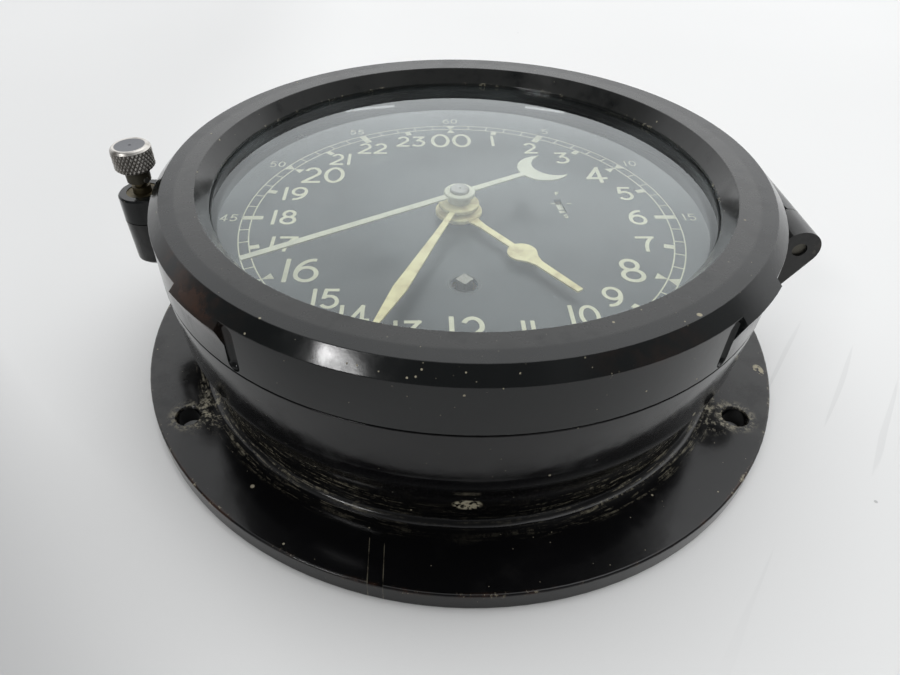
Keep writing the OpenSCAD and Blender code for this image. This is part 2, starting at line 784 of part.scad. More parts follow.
module glass_gasket() {
  r_in = sight_r + 0.3;
  r_out = glass_r - 0.1;
  top = glass_seat_z - seat;
  color(rubber) rotate_extrude() polygon([
    [r_in, dome_at(r_in) + seat], [r_out, dome_at(r_out) + seat], [r_out, top], [r_in, top]
  ]);
}

module glass_ring() {
  color(brass) difference() {
    translate([0, 0, lip_z - ring_t]) ring(ring_out, ring_in, ring_t);
    for (i = [0 : ring_screw_count - 1]) place(polar(ring_screw_at, 60 * i + 30), lip_z - ring_t - 1)
      cylinder(r = 1.15, h = ring_t + 2);
  }
}

module ring_screws() {
  color(steel) for (i = [0 : ring_screw_count - 1])
    place(polar(ring_screw_at, 60 * i + 30), lip_z - ring_t)
      rotate([180, 0, 0]) slotted_screw(2, 1.1, 1.05, ring_t + 3.5);
}

// Latch

module latch_ferrule() {
  color(brass) translate([-latch_x, 0, lug_top - ferrule_t]) ring(ferrule_r, stem_r + run, ferrule_t - 0.2);
}

module latch_clip() {
  color(steel) translate([-latch_x, 0, clip_z]) difference() {
    ring(clip_r, groove_r + run, clip_t);
    translate([0, -1.4, -1]) cube([clip_r + 1, 2.8, clip_t + 2]);
  }
}

module thumbscrew() {
  color(brass) translate([-latch_x, 0, 0]) difference() {
    union() {
      translate([0, 0, shank_tip]) cylinder(r1 = shank_r - 0.4, r2 = shank_r, h = 0.4);
      translate([0, 0, shank_tip + 0.4]) cylinder(r = shank_r, h = knob_z + 2 - shank_tip);
      translate([0, 0, clip_z - groove_gap - 0.7]) cylinder(r = stem_r, h = 0.7);
      translate([0, 0, clip_z - groove_gap - eps])
        cylinder(r = groove_r, h = clip_t + 2 * groove_gap + 2 * eps);
      translate([0, 0, clip_z + clip_t + groove_gap])
        cylinder(r = stem_r, h = collar_z - clip_z - clip_t - groove_gap);
    }
    stem_pin_hole();
  }
}

module stem_pin_hole() {
  translate([0, 0, stem_pin_z]) rotate([0, 0, pin_turn]) rotate([0, 90, 0])
    cylinder(r = stem_pin_r + seat, h = 20, center = true);
}

module thumb_knob() {
  neck_low = 2.9;
  neck_top = 4.3;
  bevel = 0.8;
  color(steel) translate([-latch_x, 0, 0]) difference() {
    union() {
      translate([0, 0, collar_z]) cylinder(r = neck_low, h = 2.4);
      translate([0, 0, collar_z + 2.4]) cylinder(r1 = neck_low, r2 = neck_top, h = knob_z - collar_z - 2.4);
      translate([0, 0, knob_z]) cylinder(r1 = knob_d / 2 - 0.7, r2 = knob_d / 2, h = 0.7);
      translate([0, 0, knob_z + 0.7]) cylinder(r = knob_d / 2, h = knob_h - bevel - 0.7);
      translate([0, 0, knob_z + knob_h - bevel])
        cylinder(r1 = knob_d / 2, r2 = knob_d / 2 - bevel, h = bevel);
    }
    translate([0, 0, collar_z - 1]) cylinder(r = shank_r + seat, h = knob_z + 2.5 - collar_z + 1);
    stem_pin_hole();
  }
}

module stem_pin() {
  color(steel) translate([-latch_x, 0, stem_pin_z]) rotate([0, 0, pin_turn]) rotate([0, 90, 0])
    cylinder(r = stem_pin_r, h = 7.8, center = true);
}

// Hands, drawn pointing along +Y and turned to the time shown

module hand_at(turn, z) rotate([0, 0, -turn]) translate([0, 0, z]) children();

// Thin disc with a small chamfer, on a narrower neck
module hub(r, h, bore, neck = hub_neck) {
  chamfer = 0.25;
  difference() {
    union() {
      cylinder(r = r - neck, h = h);
      translate([0, 0, h - hub_disc_t]) cylinder(r = r, h = hub_disc_t - chamfer);
      translate([0, 0, h - chamfer]) cylinder(r1 = r, r2 = r - chamfer, h = chamfer);
    }
    translate([0, 0, -1]) cylinder(r = bore + seat, h = h + 2);
  }
}

module hour_hand() {
  bulge_r = 4.1;
  bulge_at = 27.3;
  color(lume) hand_at(hour_turn, hour_hand_z) {
    hub(hour_hub_r, hour_hub_h, hour_pipe_out);
    translate([0, 0, hour_hub_h - 0.9]) linear_extrude(blade_t) difference() {
      union() {
        polygon([[-1.9, 5], [-1.05, 11], [-1.05, bulge_at], [1.05, bulge_at], [1.05, 11], [1.9, 5]]);
        translate([0, bulge_at]) circle(r = bulge_r);
        polygon([
          [-3.55, bulge_at + 2], [-2.1, bulge_at + 4], [-1.25, bulge_at + 6.4], [-0.95, hour_len],
          [0.95, hour_len], [1.25, bulge_at + 6.4], [2.1, bulge_at + 4], [3.55, bulge_at + 2]
        ]);
      }
      circle(r = hour_hub_r - 1);
    }
  }
}

module minute_hand() {
  color(lume) hand_at(minute_turn, minute_hand_z) {
    hub(minute_hub_r, minute_hub_h, cannon_out);
    translate([0, 0, minute_hub_h - 0.9]) linear_extrude(blade_t) difference() {
      polygon([
        [-0.8, 4], [-1, 18], [-1.9, 44.5], [-0.5, minute_len],
        [0.5, minute_len], [1.9, 44.5], [1, 18], [0.8, 4]
      ]);
      circle(r = minute_hub_r - 1);
    }
  }
}

module second_hand() {
  moon_at = -30.8;
  moon_r = 8;
  bite_r = 7.1;
  bite_at = moon_at - 4.3;
  color(lume) hand_at(second_turn, second_hand_z) {
    hub(second_hub_r, second_hub_h, sweep_r_arbor, 1.3);
    translate([0, 0, second_hub_h - 1]) linear_extrude(blade_t - 0.1) difference() {
      union() {
        polygon([
          [-1.15, 0], [-1, second_len], [1, second_len], [1.15, 0],
          [1, moon_at + 4], [-1, moon_at + 4]
        ]);
        translate([0, moon_at]) circle(r = moon_r);
      }
      translate([0, bite_at]) circle(r = bite_r);
      circle(r = second_hub_r - 1);
    }
  }
}

module hand_cap() {
  color(steel) translate([0, 0, second_hand_z + second_hub_h]) difference() {
    union() {
      cylinder(r = cap_r, h = 0.6);
      translate([0, 0, 0.6]) cylinder(r1 = cap_r, r2 = cap_r - 0.3, h = 0.3);
    }
    translate([0, 0, 0.6]) cylinder(r1 = 0.2, r2 = 0.5, h = 0.31);
  }
}

// Motion work

module cannon_pinion() {
  color(brass) translate([0, 0, motion_z]) difference() {
    rotate([0, 0, aim(centre_at, minute_at) + 180 / cannon_teeth])
      toothed(cannon_teeth, cannon_mod, cannon_h);
    translate([0, 0, -1]) cylinder(r = twelve(tube_out + run), h = cannon_h + 2, $fn = 12);
  }
}

module cannon_pipe() {
  color(brass) translate([0, 0, motion_z + cannon_h])
    ring(cannon_out, tube_out + run, minute_hand_z + minute_hub_h - 0.2 - motion_z - cannon_h);
}

module minute_wheel() {
  color(brass) place(minute_at) wheel_and_pinion(
    minute_teeth, cannon_mod, 1, minute_pinion_teeth, hour_mod,
    minute_z, minute_z, hour_z + 1.2 - minute_z,
    aim(minute_at, centre_at), aim(minute_at, centre_at) + 180 / minute_pinion_teeth, 1.5 + run
  );
}

module hour_wheel() {
  color(brass) translate([0, 0, hour_z]) rotate([0, 0, aim(centre_at, minute_at)]) difference() {
    toothed(hour_teeth, hour_mod, 1);
    translate([0, 0, -1]) cylinder(r = twelve(hour_pipe_out), h = 3, $fn = 12);
    for (i = [0 : 4]) rotate([0, 0, 72 * i]) translate([0, 0, -1])
      linear_extrude(3) polygon(window_points(6, 13.5, 72, 13, 6));
  }
}

module hour_pipe() {
  color(brass) translate([0, 0, hour_z - 0.3])
    ring(hour_pipe_out, hour_pipe_in, hour_hand_z + hour_hub_h - 0.1 - hour_z + 0.3);
}

// Going train

module seconds_arbor() {
  color(steel) translate([0, 0, back_z + arbor_end])
    cylinder(r = sweep_r_arbor, h = second_hand_z + second_hub_h - 0.2 - back_z - arbor_end);
}

module sweep_pinion() {
  color(steel) translate([0, 0, third_z - 0.5]) difference() {
    rotate([0, 0, aim(centre_at, third_at) + 180 / fourth_pinion_teeth])
      toothed(fourth_pinion_teeth, third_mod, 1.9);
    translate([0, 0, -1]) cylinder(r = twelve(sweep_r_arbor), h = 4, $fn = 12);
  }
}

module centre_arbor() {
  color(steel) translate([0, 0, bridge_z + 0.2])
    ring(tube_out, tube_in, minute_hand_z + minute_hub_h - 0.4 - bridge_z - 0.2);
}

module centre_wheel() {
  color(brass) wheel_and_pinion(
    centre_teeth, centre_mod, wheel_t, centre_pinion_teeth, inter_mod,
    centre_z, inter_z - 0.6, centre_z - inter_z + 0.6 + eps,
    aim(centre_at, third_at), aim(centre_at, inter_at) + 180 / centre_pinion_teeth, tube_out
  );
}

module intermediate_arbor() {
  color(steel) place(inter_at) plain_arbor();
}

module intermediate_wheel() {
  low = barrel_top - barrel_gear_t - 0.6;
  color(brass) place(inter_at) wheel_and_pinion(
    inter_teeth, inter_mod, 1, inter_pinion_teeth, barrel_mod,
    inter_z, low, inter_z - low + eps,
    aim(inter_at, centre_at), aim(inter_at, barrel_at) + 180 / inter_pinion_teeth, arbor_r
  );
}

module third_arbor() {
  color(steel) place(third_at) plain_arbor();
}

module third_wheel() {
  hub = 3;
  rim = third_reach - 4.5;
  color(brass) place(third_at, third_z, aim(third_at, centre_at)) difference() {
    toothed(third_teeth, third_mod, wheel_t);
    for (i = [0 : 4]) rotate([0, 0, 72 * i]) translate([0, 0, -1])
      linear_extrude(wheel_t + 2) polygon(window_points(hub, rim, 72, 24, 5));
    translate([0, 0, -1]) cylinder(r = twelve(arbor_r), h = wheel_t + 2, $fn = 12);
  }
}

module third_pinion() {
  h = wheel_t + 1;
  color(steel) place(third_at, centre_z - 0.5) difference() {
    rotate([0, 0, aim(third_at, centre_at) + 180 / third_pinion_teeth])
      toothed(third_pinion_teeth, centre_mod, h);
    translate([0, 0, -1]) cylinder(r = twelve(arbor_r), h = h + 2, $fn = 12);
  }
}

module fourth_arbor() {
  color(steel) place(fourth_at) plain_arbor();
}

module fourth_wheel() {
  color(brass) place(fourth_at) wheel_and_pinion(
    fourth_teeth, fourth_mod, wheel_t, fourth_pinion_teeth, third_mod,
    fourth_z, third_z - 0.5, fourth_z - third_z + 0.5 + eps,
    aim(fourth_at, escape_at), fourth_pinion_turn, arbor_r
  );
}

module escape_arbor() {
  color(steel) place(escape_at) plain_arbor(0.8);
}

// Escape wheel with fifteen raked teeth, and its pinion
module escape_wheel() {
  tip = escape_r;
  root = escape_r - 1.8;
  step = 360 / escape_teeth;
  color(brass) place(escape_at) difference() {
    union() {
      translate([0, 0, escape_z]) linear_extrude(0.8) polygon([
        for (i = [0 : escape_teeth - 1])
          for (k = [[0, root], [0.52, tip], [0.6, tip], [0.55, root]])
            polar(k[1], (i + k[0]) * step)
      ]);
      translate([0, 0, fourth_z - 0.5])
        rotate([0, 0, aim(escape_at, fourth_at) + 180 / escape_pinion_teeth])
          toothed(escape_pinion_teeth, fourth_mod, escape_z - fourth_z + 0.5 + eps);
    }
    translate([0, 0, fourth_z - 2]) cylinder(r = twelve(0.8), h = 10, $fn = 12);
  }
}

// Pallet lever: two arms over the escape wheel and a fork towards the balance
module pallet_lever() {
  top = pallet_bridge_z - arbor_end;
  color(steel) place(pallet_at) {
    translate([0, 0, inner_z + arbor_end]) cylinder(r = 0.8, h = top - inner_z - arbor_end);
    translate([0, 0, back_z + arbor_end]) cylinder(r = pivot_r, h = top + pallet_bridge_t - back_z);
    translate([0, 0, escape_z - 0.1]) rotate([0, 0, aim(pallet_at, escape_at)]) linear_extrude(1) union() {
      circle(r = 1.5);
      for (s = [-1, 1]) polygon([
        [0.2, s * 1], [0.6, s * 4.2], [2.3, s * 4.6], [2.6, s * 3.8], [1.3, s * 3.4], [1.2, s * 0.8]
      ]);
      polygon([
        [0, -0.7], [-5.2, -0.5], [-6.6, -1.3], [-6.6, -0.5], [-5.9, 0],
        [-6.6, 0.5], [-6.6, 1.3], [-5.2, 0.5], [0, 0.7]
      ]);
    }
  }
}

module balance_staff() {
  color(steel) place(balance_at) {
    translate([0, 0, inner_z + arbor_end]) cylinder(r = 0.8, h = front_top - 0.1 - inner_z - 2 * arbor_end);
    translate([0, 0, back_z + arbor_end])
      cylinder(r = pivot_r, h = front_top + cock_t + 0.1 - back_z - 2 * arbor_end);
    translate([0, 0, escape_z + 1.4]) cylinder(r = 2.2, h = 0.7);
  }
}

module balance_wheel() {
  rim_out = 10.5;
  rim_in = 9.2;
  color(brass) place(balance_at, balance_z) difference() {
    union() {
      ring(rim_out, rim_in, 1.4);
      translate([-rim_in - 0.3, -0.9, 0.2]) cube([2 * rim_in + 0.6, 1.8, 0.9]);
      cylinder(r = 2, h = 1.4);
    }
    translate([0, 0, -1]) cylinder(r = 0.8 + seat, h = 4);
  }
}

module regulator() {
  back = aim(balance_at, slot_at);
  color(brass) place(balance_at, front_top + cock_t + 0.1, back) difference() {
    union() {
      cylinder(r = cock_boss_r + 1.6, h = 0.7);
      translate([2, -0.8, 0]) cube([regulator_arm - 1.2, 1.6, 0.7]);
      translate([regulator_arm - 0.8, -0.8, 0])
        cube([1.6, 1.6, dial_back - 0.4 - front_top - cock_t - 0.1]);
    }
    translate([0, 0, -1]) cylinder(r = cock_boss_r + run, h = 3);
  }
}

// Barrel and winding work

module barrel() {
  color(brass) place(barrel_at, barrel_z) difference() {
    cylinder(r = drum_r, h = barrel_h);
    translate([0, 0, drum_floor]) cylinder(r = drum_r - drum_wall, h = barrel_h);
    translate([0, 0, -1]) cylinder(r = journal_r + run, h = 3);
  }
}

module barrel_gear() {
  color(brass) place(barrel_at, barrel_top - barrel_gear_t, aim(barrel_at, inter_at)) difference() {
    toothed(barrel_teeth, barrel_mod, barrel_gear_t);
    translate([0, 0, -1]) cylinder(r = drum_r + seat, h = barrel_gear_t + 2);
  }
}

module barrel_cover() {
  color(brass) place(barrel_at, barrel_top - cover_t)
    ring(drum_r - drum_wall - seat, journal_r + run, cover_t);
}

module mainspring() {
  low = barrel_z + drum_floor + 0.3;
  color(steel) place(barrel_at, low)
    linear_extrude(barrel_top - cover_t - 0.3 - low)
      polygon(spiral_points(core_r + 1, drum_r - drum_wall - 0.6, 7, 0.5, 24));
}

module winding_arbor() {
  square_top = dial_z + 1.7;
  color(steel) place(barrel_at) {
    translate([0, 0, back_z + arbor_end]) cylinder(r = 2, h = 4);
    translate([0, 0, inner_z + 0.5]) cylinder(r = journal_r, h = front_top + 0.2 - inner_z - 0.5);
    translate([0, 0, barrel_z + drum_floor + 0.3])
      cylinder(r = core_r, h = barrel_h - drum_floor - cover_t - 0.6);
    translate([0, 0, front_top]) cylinder(r = 2.6, h = ratchet_t + 0.2);
    translate([0, 0, front_top + 1]) rotate([0, 0, 45]) intersection() {
      translate([-square_w / 2, -square_w / 2, 0]) cube([square_w, square_w, square_top - front_top - 1]);
      cylinder(r = square_w / 2 + 0.55, h = square_top - front_top - 1);
    }
  }
}

// Ratchet with raked teeth, flat-faced
module ratchet_wheel() {
  step = 360 / ratchet_teeth;
  color(steel) place(barrel_at, front_top + 0.25) difference() {
    linear_extrude(ratchet_t) polygon([
      for (i = [0 : ratchet_teeth - 1])
        for (k = [[0, ratchet_r - 1.3], [0.85, ratchet_r], [0.95, ratchet_r - 0.1]])
          polar(k[1], (i + k[0]) * step)
    ]);
    translate([0, 0, -1]) cylinder(r = twelve(2.6), h = 4, $fn = 12);
  }
}

module click() {
  color(steel) place(click_at) {
    translate([0, 0, front_z]) cylinder(r = 1, h = plate_t + 0.5);
    translate([0, 0, front_top + 0.25]) rotate([0, 0, 96]) linear_extrude(1.2) union() {
      circle(r = 2.2);
      polygon([[0, -2.1], [6.5, -0.2], [7.6, 1.6], [6.2, 1.3], [0, 2.1]]);
    }
  }
}

module click_spring() {
  color(steel) place(click_spring_at, front_top + 0.25) {
    cylinder(r = 1.6, h = 1.2);
    translate([0, 0, -plate_t]) cylinder(r = 0.8, h = plate_t + eps);
    linear_extrude(0.9) polygon([
      [-1, -0.6], [-2.6, -1.7], [-3.9, -2.1], [-3.9, -1.7], [-2.8, -1.3], [-1.2, 0]
    ]);
  }
}

case_body();
latch_insert();
hinge_pin();
rim_gasket();
movement_screws();
back_plate();
front_plate();
plate_pillars();
plate_screws();
centre_bridge();
balance_cock();
pallet_bridge();
hairspring();
click_spring();
minute_post();
dial();
dial_screws();
bezel();
glass();
glass_gasket();
glass_ring();
ring_screws();
latch_ferrule();
latch_clip();
thumb_knob();
thumbscrew();
stem_pin();
minute_hand();
cannon_pinion();
cannon_pipe();
minute_wheel();
hour_hand();
hour_wheel();
hour_pipe();
second_hand();
hand_cap();
seconds_arbor();
sweep_pinion();
centre_arbor();
centre_wheel();
intermediate_arbor();
intermediate_wheel();
barrel();
barrel_gear();
barrel_cover();
mainspring();
winding_arbor();
ratchet_wheel();
click();
third_arbor();
third_wheel();
third_pinion();
fourth_arbor();
fourth_wheel();
escape_arbor();
escape_wheel();
pallet_lever();
balance_staff();
balance_wheel();
regulator();
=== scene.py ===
# %% [markdown]
# # A ship's bulkhead clock, lying on a table
# The clock is a moulded black case with a hinged ring that holds a domed glass. Its metal
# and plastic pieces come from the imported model, at their real size and place. This script
# adds what gives them their look: paint, wear, dust, the numbers on the dial, the knurled
# knob and the light of the room.

import math

import bmesh
import bpy
import numpy as np
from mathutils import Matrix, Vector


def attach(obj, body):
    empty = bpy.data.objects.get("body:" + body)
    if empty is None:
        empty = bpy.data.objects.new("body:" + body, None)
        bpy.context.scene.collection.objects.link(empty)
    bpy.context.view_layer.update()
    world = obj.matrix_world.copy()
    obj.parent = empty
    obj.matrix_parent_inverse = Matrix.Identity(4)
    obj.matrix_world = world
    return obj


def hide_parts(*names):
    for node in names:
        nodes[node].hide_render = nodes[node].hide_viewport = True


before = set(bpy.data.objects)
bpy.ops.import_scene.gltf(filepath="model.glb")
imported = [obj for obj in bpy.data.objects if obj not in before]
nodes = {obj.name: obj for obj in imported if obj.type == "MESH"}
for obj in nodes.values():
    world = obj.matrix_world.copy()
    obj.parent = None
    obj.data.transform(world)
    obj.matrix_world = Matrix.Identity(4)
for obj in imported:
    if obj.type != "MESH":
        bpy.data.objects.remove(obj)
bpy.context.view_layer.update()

# %% [markdown]
# ## Camera
# The photograph was taken from close by, above and in front of the clock. A camera's place
# can be found from circles of known size: the flange, the ring and the minute track show as
# ellipses, and only one place and focal length fits them all. The small shift says that the
# photograph's centre isn't the lens's centre.

# %% Camera
camera_data = bpy.data.cameras.new("camera")
camera_data.lens = 26.479
camera_data.sensor_width = 36
camera_data.shift_x = 0.0445
camera_data.shift_y = -0.0240
camera_data.clip_start = 0.01
camera = bpy.data.objects.new("camera", camera_data)
camera.location = (-0.01240, -0.17169, 0.14903)
camera.rotation_euler = [math.radians(angle) for angle in (50.06, 0.39, 0.48)]
bpy.context.scene.collection.objects.link(camera)
bpy.context.scene.camera = camera
bpy.context.scene.view_settings.view_transform = "Standard"
print("camera at", tuple(round(v, 3) for v in camera.location))

# %% [markdown]
# ## Maths on a surface
# A finish is a small calculation made at each point of a surface. Blender draws it as a graph
# of nodes, but written as Python it reads like any other formula. This class wraps a node's
# output, so that `1 - mask` adds a Math node.

# %% Signals


class Signal:
    """A number or vector that varies over a surface, with Python's operators."""

    def __init__(self, finish, socket):
        self.finish = finish
        self.socket = socket

    def _math(self, operation, *values):
        return self.finish.add("Math", {"operation": operation}, dict(enumerate(values)))

    def __add__(self, other):
        return self._math("ADD", self, other)

    def __sub__(self, other):
        return self._math("SUBTRACT", self, other)

    def __rsub__(self, other):
        return self._math("SUBTRACT", other, self)

    def __mul__(self, other):
        return self._math("MULTIPLY", self, other)

    def __truediv__(self, other):
        return self._math("DIVIDE", self, other)

    def __pow__(self, other):
        return self._math("POWER", self, other)

    def __abs__(self):
        return self._math("ABSOLUTE", self)

    __radd__ = __add__
    __rmul__ = __mul__

    def above(self, low, high):
        """0 below low, 1 above high and a smooth rise between."""
        settings = {"interpolation_type": "SMOOTHSTEP"}
        return self.finish.add("MapRange", settings, {0: self, 1: low, 2: high})

    def below(self, low, high):
        """1 below low, 0 above high and a smooth fall between."""
        return 1 - self.above(low, high)

    def near(self, centre, width):
        """1 at centre, falling smoothly to 0 at width to either side."""
        return abs(self - centre).below(width * 0.3, width)

    def least(self, other):
        """The smaller of two values."""
        return self._math("MINIMUM", self, other)

    def most(self, other):
        """The larger of two values."""
        return self._math("MAXIMUM", self, other)

    def angle(self, across):
        """The angle, in radians, of a point that lies across to the side and self ahead."""
        return self._math("ARCTAN2", self, across)

    def cycle(self):
        """The part after the decimal point, which repeats once a unit."""
        return self._math("FRACT", self)

    def split(self):
        """The three parts of a vector."""
        parts = self.finish.add("SeparateXYZ", inputs={0: self})
        sockets = parts.socket.node.outputs
        return [Signal(self.finish, socket) for socket in sockets]


print("signals ready")

# %% [markdown]
# ## A material under construction
# Each finish of the clock starts from the same few things: where a point is, some noise, some
# flecks, a mix of two colours and a fine relief. They could be set up by hand for every
# material, but a class that holds one material and adds its nodes keeps each finish down to
# the lines that make it different.

# %% Finishes


class Finish:
    """A material under construction."""

    def __init__(self, name):
        self.material = bpy.data.materials.new(name)
        self.material.use_nodes = True
        self.tree = self.material.node_tree
        self.tree.nodes.clear()

    def add(self, kind, settings=None, inputs=None, output=0):
        """Adds a node, sets it up, feeds its inputs and returns one of its outputs."""
        node = self.tree.nodes.new("ShaderNode" + kind)
        for name, value in (settings or {}).items():
            setattr(node, name, value)
        for name, value in (inputs or {}).items():
            if isinstance(value, Signal):
                self.tree.links.new(value.socket, node.inputs[name])
            else:
                node.inputs[name].default_value = value
        return Signal(self, node.outputs[output])

    def place(self):
        """The point in the clock's own frame, in metres."""
        return self.add("TexCoord", output="Object")

    def polar(self):
        """Distance from the dial's axis, angle round it in radians, and height."""
        x, y, z = self.place().split()
        return (x * x + y * y) ** 0.5, y.angle(x), z

    def noise(self, size, detail, roughness=0.55, place=None):
        """Cloudy noise from 0 to 1 whose patches are about size metres wide."""
        inputs = {
            "Vector": place or self.place(), "Scale": 1 / size,
            "Detail": detail, "Roughness": roughness,
        }
        return self.add("TexNoise", inputs=inputs)

    def flecks(self, size, share, radius):
        """1 on small round flecks, about size metres apart, of which only a share is kept;
        radius is a part of size."""
        inputs = {"Vector": self.place(), "Scale": 1 / size}
        spot = self.add("TexVoronoi", inputs=inputs)
        chance = Signal(self, spot.socket.node.outputs["Color"]).split()[0]
        return spot.below(radius * 0.6, radius) * chance.above(1 - share, 1.001 - share)

    def tint(self, amount, first, second):
        """First colour where amount is 0, second where it is 1."""
        settings = {"data_type": "RGBA"}
        return self.add("Mix", settings, {0: amount, 6: first, 7: second}, output=2)

    def bump(self, height, depth, normal=None):
        """Tilts the surface as height says; depth is in metres."""
        inputs = {"Height": height, "Strength": 1.0, "Distance": depth}
        if normal:
            inputs["Normal"] = normal
        return self.add("Bump", inputs=inputs)

    def shade(self, **inputs):
        """The main shader; Base_Color stands for the socket Base Color, and so on."""
        named = {name.replace("_", " "): value for name, value in inputs.items()}
        return self.add("BsdfPrincipled", inputs=named)

    def finish(self, shader):
        """Ends the graph with the shader and returns the material."""
        output = self.tree.nodes.new("ShaderNodeOutputMaterial")
        self.tree.links.new(shader.socket, output.inputs["Surface"])
        return self.material


def grey(value, warmth=0.0):
    """A colour with equal parts, a little redder if warmth is above 0, bluer if below."""
    return (value * (1 + warmth), value, value * (1 - warmth), 1)


print("finishes ready")

# %% [markdown]
# ## The table
# The clock lies on a white table with painted shade: it is greyer at the near left and along
# the left, as if shadowed there. It has been rubbed and scratched on the right and holds a few
# specks. A picture of a table would do, but the same masks and noise as on the clock need no
# picture and show no edge.

# %% Table
table_white = 0.80
table_half_width = 3.0
shade_reach = (0.35, 0.90)
shade_corner = (0.130, 0.205)
shade_left = (0.05, 0.16)
rubbed_right = (0.04, 0.10)
rubbed_front = (-0.02, 0.04)


def table_finish():
    """White, with painted shade that makes it greyer towards the near left corner and along the
    left, with specks and fine slanted scratches, and a gloss that varies from place to place.
    Each change sets in between two distances."""
    paint = Finish("table")
    across, away = paint.place().split()[:2]
    shade_nearby = ((across * across + away * away) ** 0.5).below(*shade_reach)
    # Painted shade: the near left corner and the left side are made greyer, as if in shadow.
    corner = (across * -1.0 - away * 0.8).above(*shade_corner) * shade_nearby
    shaded_left_part = (0.0 - across).above(*shade_left) * 0.32
    white = (table_white, table_white, table_white * 0.992, 1)
    shaded_sheet = paint.tint(corner.most(shaded_left_part), white, grey(0.45))
    slanted = paint.add("CombineXYZ", inputs={
        0: across * 0.8 - away * 0.6, 1: (across * 0.6 + away * 0.8) * 0.04, 2: 0.0
    })
    rubbed = across.above(*rubbed_right) * away.below(*rubbed_front)
    scratches = paint.noise(0.0035, 2, 0.5, slanted).above(0.64, 0.69) * rubbed * 0.20
    specks = paint.flecks(0.012, 0.05, 0.05)
    pale = paint.tint((specks + scratches).least(1.0), shaded_sheet, grey(0.5))
    smear = paint.noise(0.25, 2)
    return paint.finish(paint.shade(Base_Color=pale, Roughness=smear * 0.2 + 0.35))


half = table_half_width
table_mesh = bpy.data.meshes.new("table")
corners = [(-half, -half, 0), (half, -half, 0), (half, half, 0), (-half, half, 0)]
table_mesh.from_pydata(corners, [], [(0, 1, 2, 3)])
table_mesh.materials.append(table_finish())
table_top = bpy.data.objects.new("table", table_mesh)
bpy.context.scene.collection.objects.link(table_top)
print("table", 2 * half, "metres wide")

# %% [markdown]
# ## The light of the room
# A glossy black object shows little of itself: it shows the room. This room is bright beyond
# the far edge of the clock, where its window is, and dim on the camera's side. A picture of a
# room could be wrapped round the scene, but a world shader that looks only at the direction
# is enough, and each patch of it can be traced back from a reflection on the clock.

# %% World
room = bpy.data.worlds.new("room")
room.use_nodes = True
bpy.context.scene.world = room


class Room(Finish):
    """The world's shader, built with the same tools as a material."""

    def __init__(self, world):
        self.tree = world.node_tree
        self.tree.nodes.clear()


def light_room(world, bright, dim, towards_window, patches):
    """Light that rises from dim to bright towards the window and is weaker low at both sides.
    Each patch is a direction, two cosines between which it sets in, and how much brighter
    (or, below 0, darker) it is."""
    shader = Room(world)
    direction = shader.add("TexCoord", output="Generated")

    def facing(way):
        """The cosine of the angle to a direction."""
        settings = {"operation": "DOT_PRODUCT"}
        return shader.add("VectorMath", settings, {0: direction, 1: way}, output="Value")

    strength = facing(towards_window).above(-0.45, 0.55) * (bright - dim) + dim
    for way, start, full, change in patches:
        strength = strength * (facing(way).above(start, full) * change + 1)
    across, up = direction.split()[0::2]
    sides = abs(across).above(0.45, 0.95) * up.below(0.05, 0.35)
    strength = strength * (1 - sides * 0.42)
    background = shader.add("Background", inputs={"Color": grey(1, -0.01), "Strength": strength})
    output = shader.tree.nodes.new("ShaderNodeOutputWorld")
    shader.tree.links.new(background.socket, output.inputs["Surface"])


camera_side = ((-0.05, -0.80, 0.60), 0.70, 0.95, -0.66)
dark_right = ((0.85, -0.25, 0.45), 0.80, 0.93, -0.75)
dark_left = ((-0.90, -0.08, 0.40), 0.88, 0.97, -0.62)
ceiling = ((0.16, 0.74, 0.65), 0.94, 0.995, 0.24)
window_right = ((0.56, 0.72, 0.41), 0.955, 0.99, 0.18)
lamp_right = ((0.55, 0.10, 0.83), 0.86, 0.97, 0.80)
dark_high_left = ((-0.62, -0.10, 0.78), 0.80, 0.97, -0.50)
patches = [
    camera_side, dark_right, dark_left, ceiling, window_right, lamp_right, dark_high_left,
]
window = (0.33, 0.90, 0.28)
light_room(room, bright=1.5, dim=0.46, towards_window=window, patches=patches)
print("room with", len(patches), "patches")

# %% [markdown]
# ## Three lamps
# One lamp behind the camera's left gives the bright streak on the chamfer. Two dim tubes on
# the far side show as short lines near the far edge of the glass. They are area lamps,
# because a lamp's shape shows in a polished surface.

# %% Lamps
lamp_aim = (0, 0, 0.05)


def area_lamp(name, place, size, power):
    """A rectangle of light at place that faces the clock; power is in watts."""
    lamp_data = bpy.data.lights.new(name, "AREA")
    lamp_data.shape = "RECTANGLE"
    lamp_data.size, lamp_data.size_y = size
    lamp_data.energy = power
    lamp = bpy.data.objects.new(name, lamp_data)
    lamp.location = place
    direction = Vector(lamp_aim) - Vector(place)
    lamp.rotation_euler = direction.to_track_quat("-Z", "Y").to_euler()
    bpy.context.scene.collection.objects.link(lamp)


area_lamp("side_lamp", (-0.900, -0.966, 1.068), (0.40, 0.05), 4.2)
area_lamp("far_tube", (-0.28, 2.48, 0.56), (0.24, 0.03), 0.03)
area_lamp("far_tube_right", (0.57, 2.44, 0.54), (0.19, 0.03), 0.025)
print("three lamps")

# %% [markdown]
# ## Finishes of the metal pieces
# Brass, steel and blued steel differ in colour and in how far they are polished, and the
# pieces outside are stained or grimy. Each could have its own graph, but one function with a
# colour, a duller colour and a roughness serves them all. The roughness is broken up by
# noise, because an even polish looks like plastic.

# %% Metals


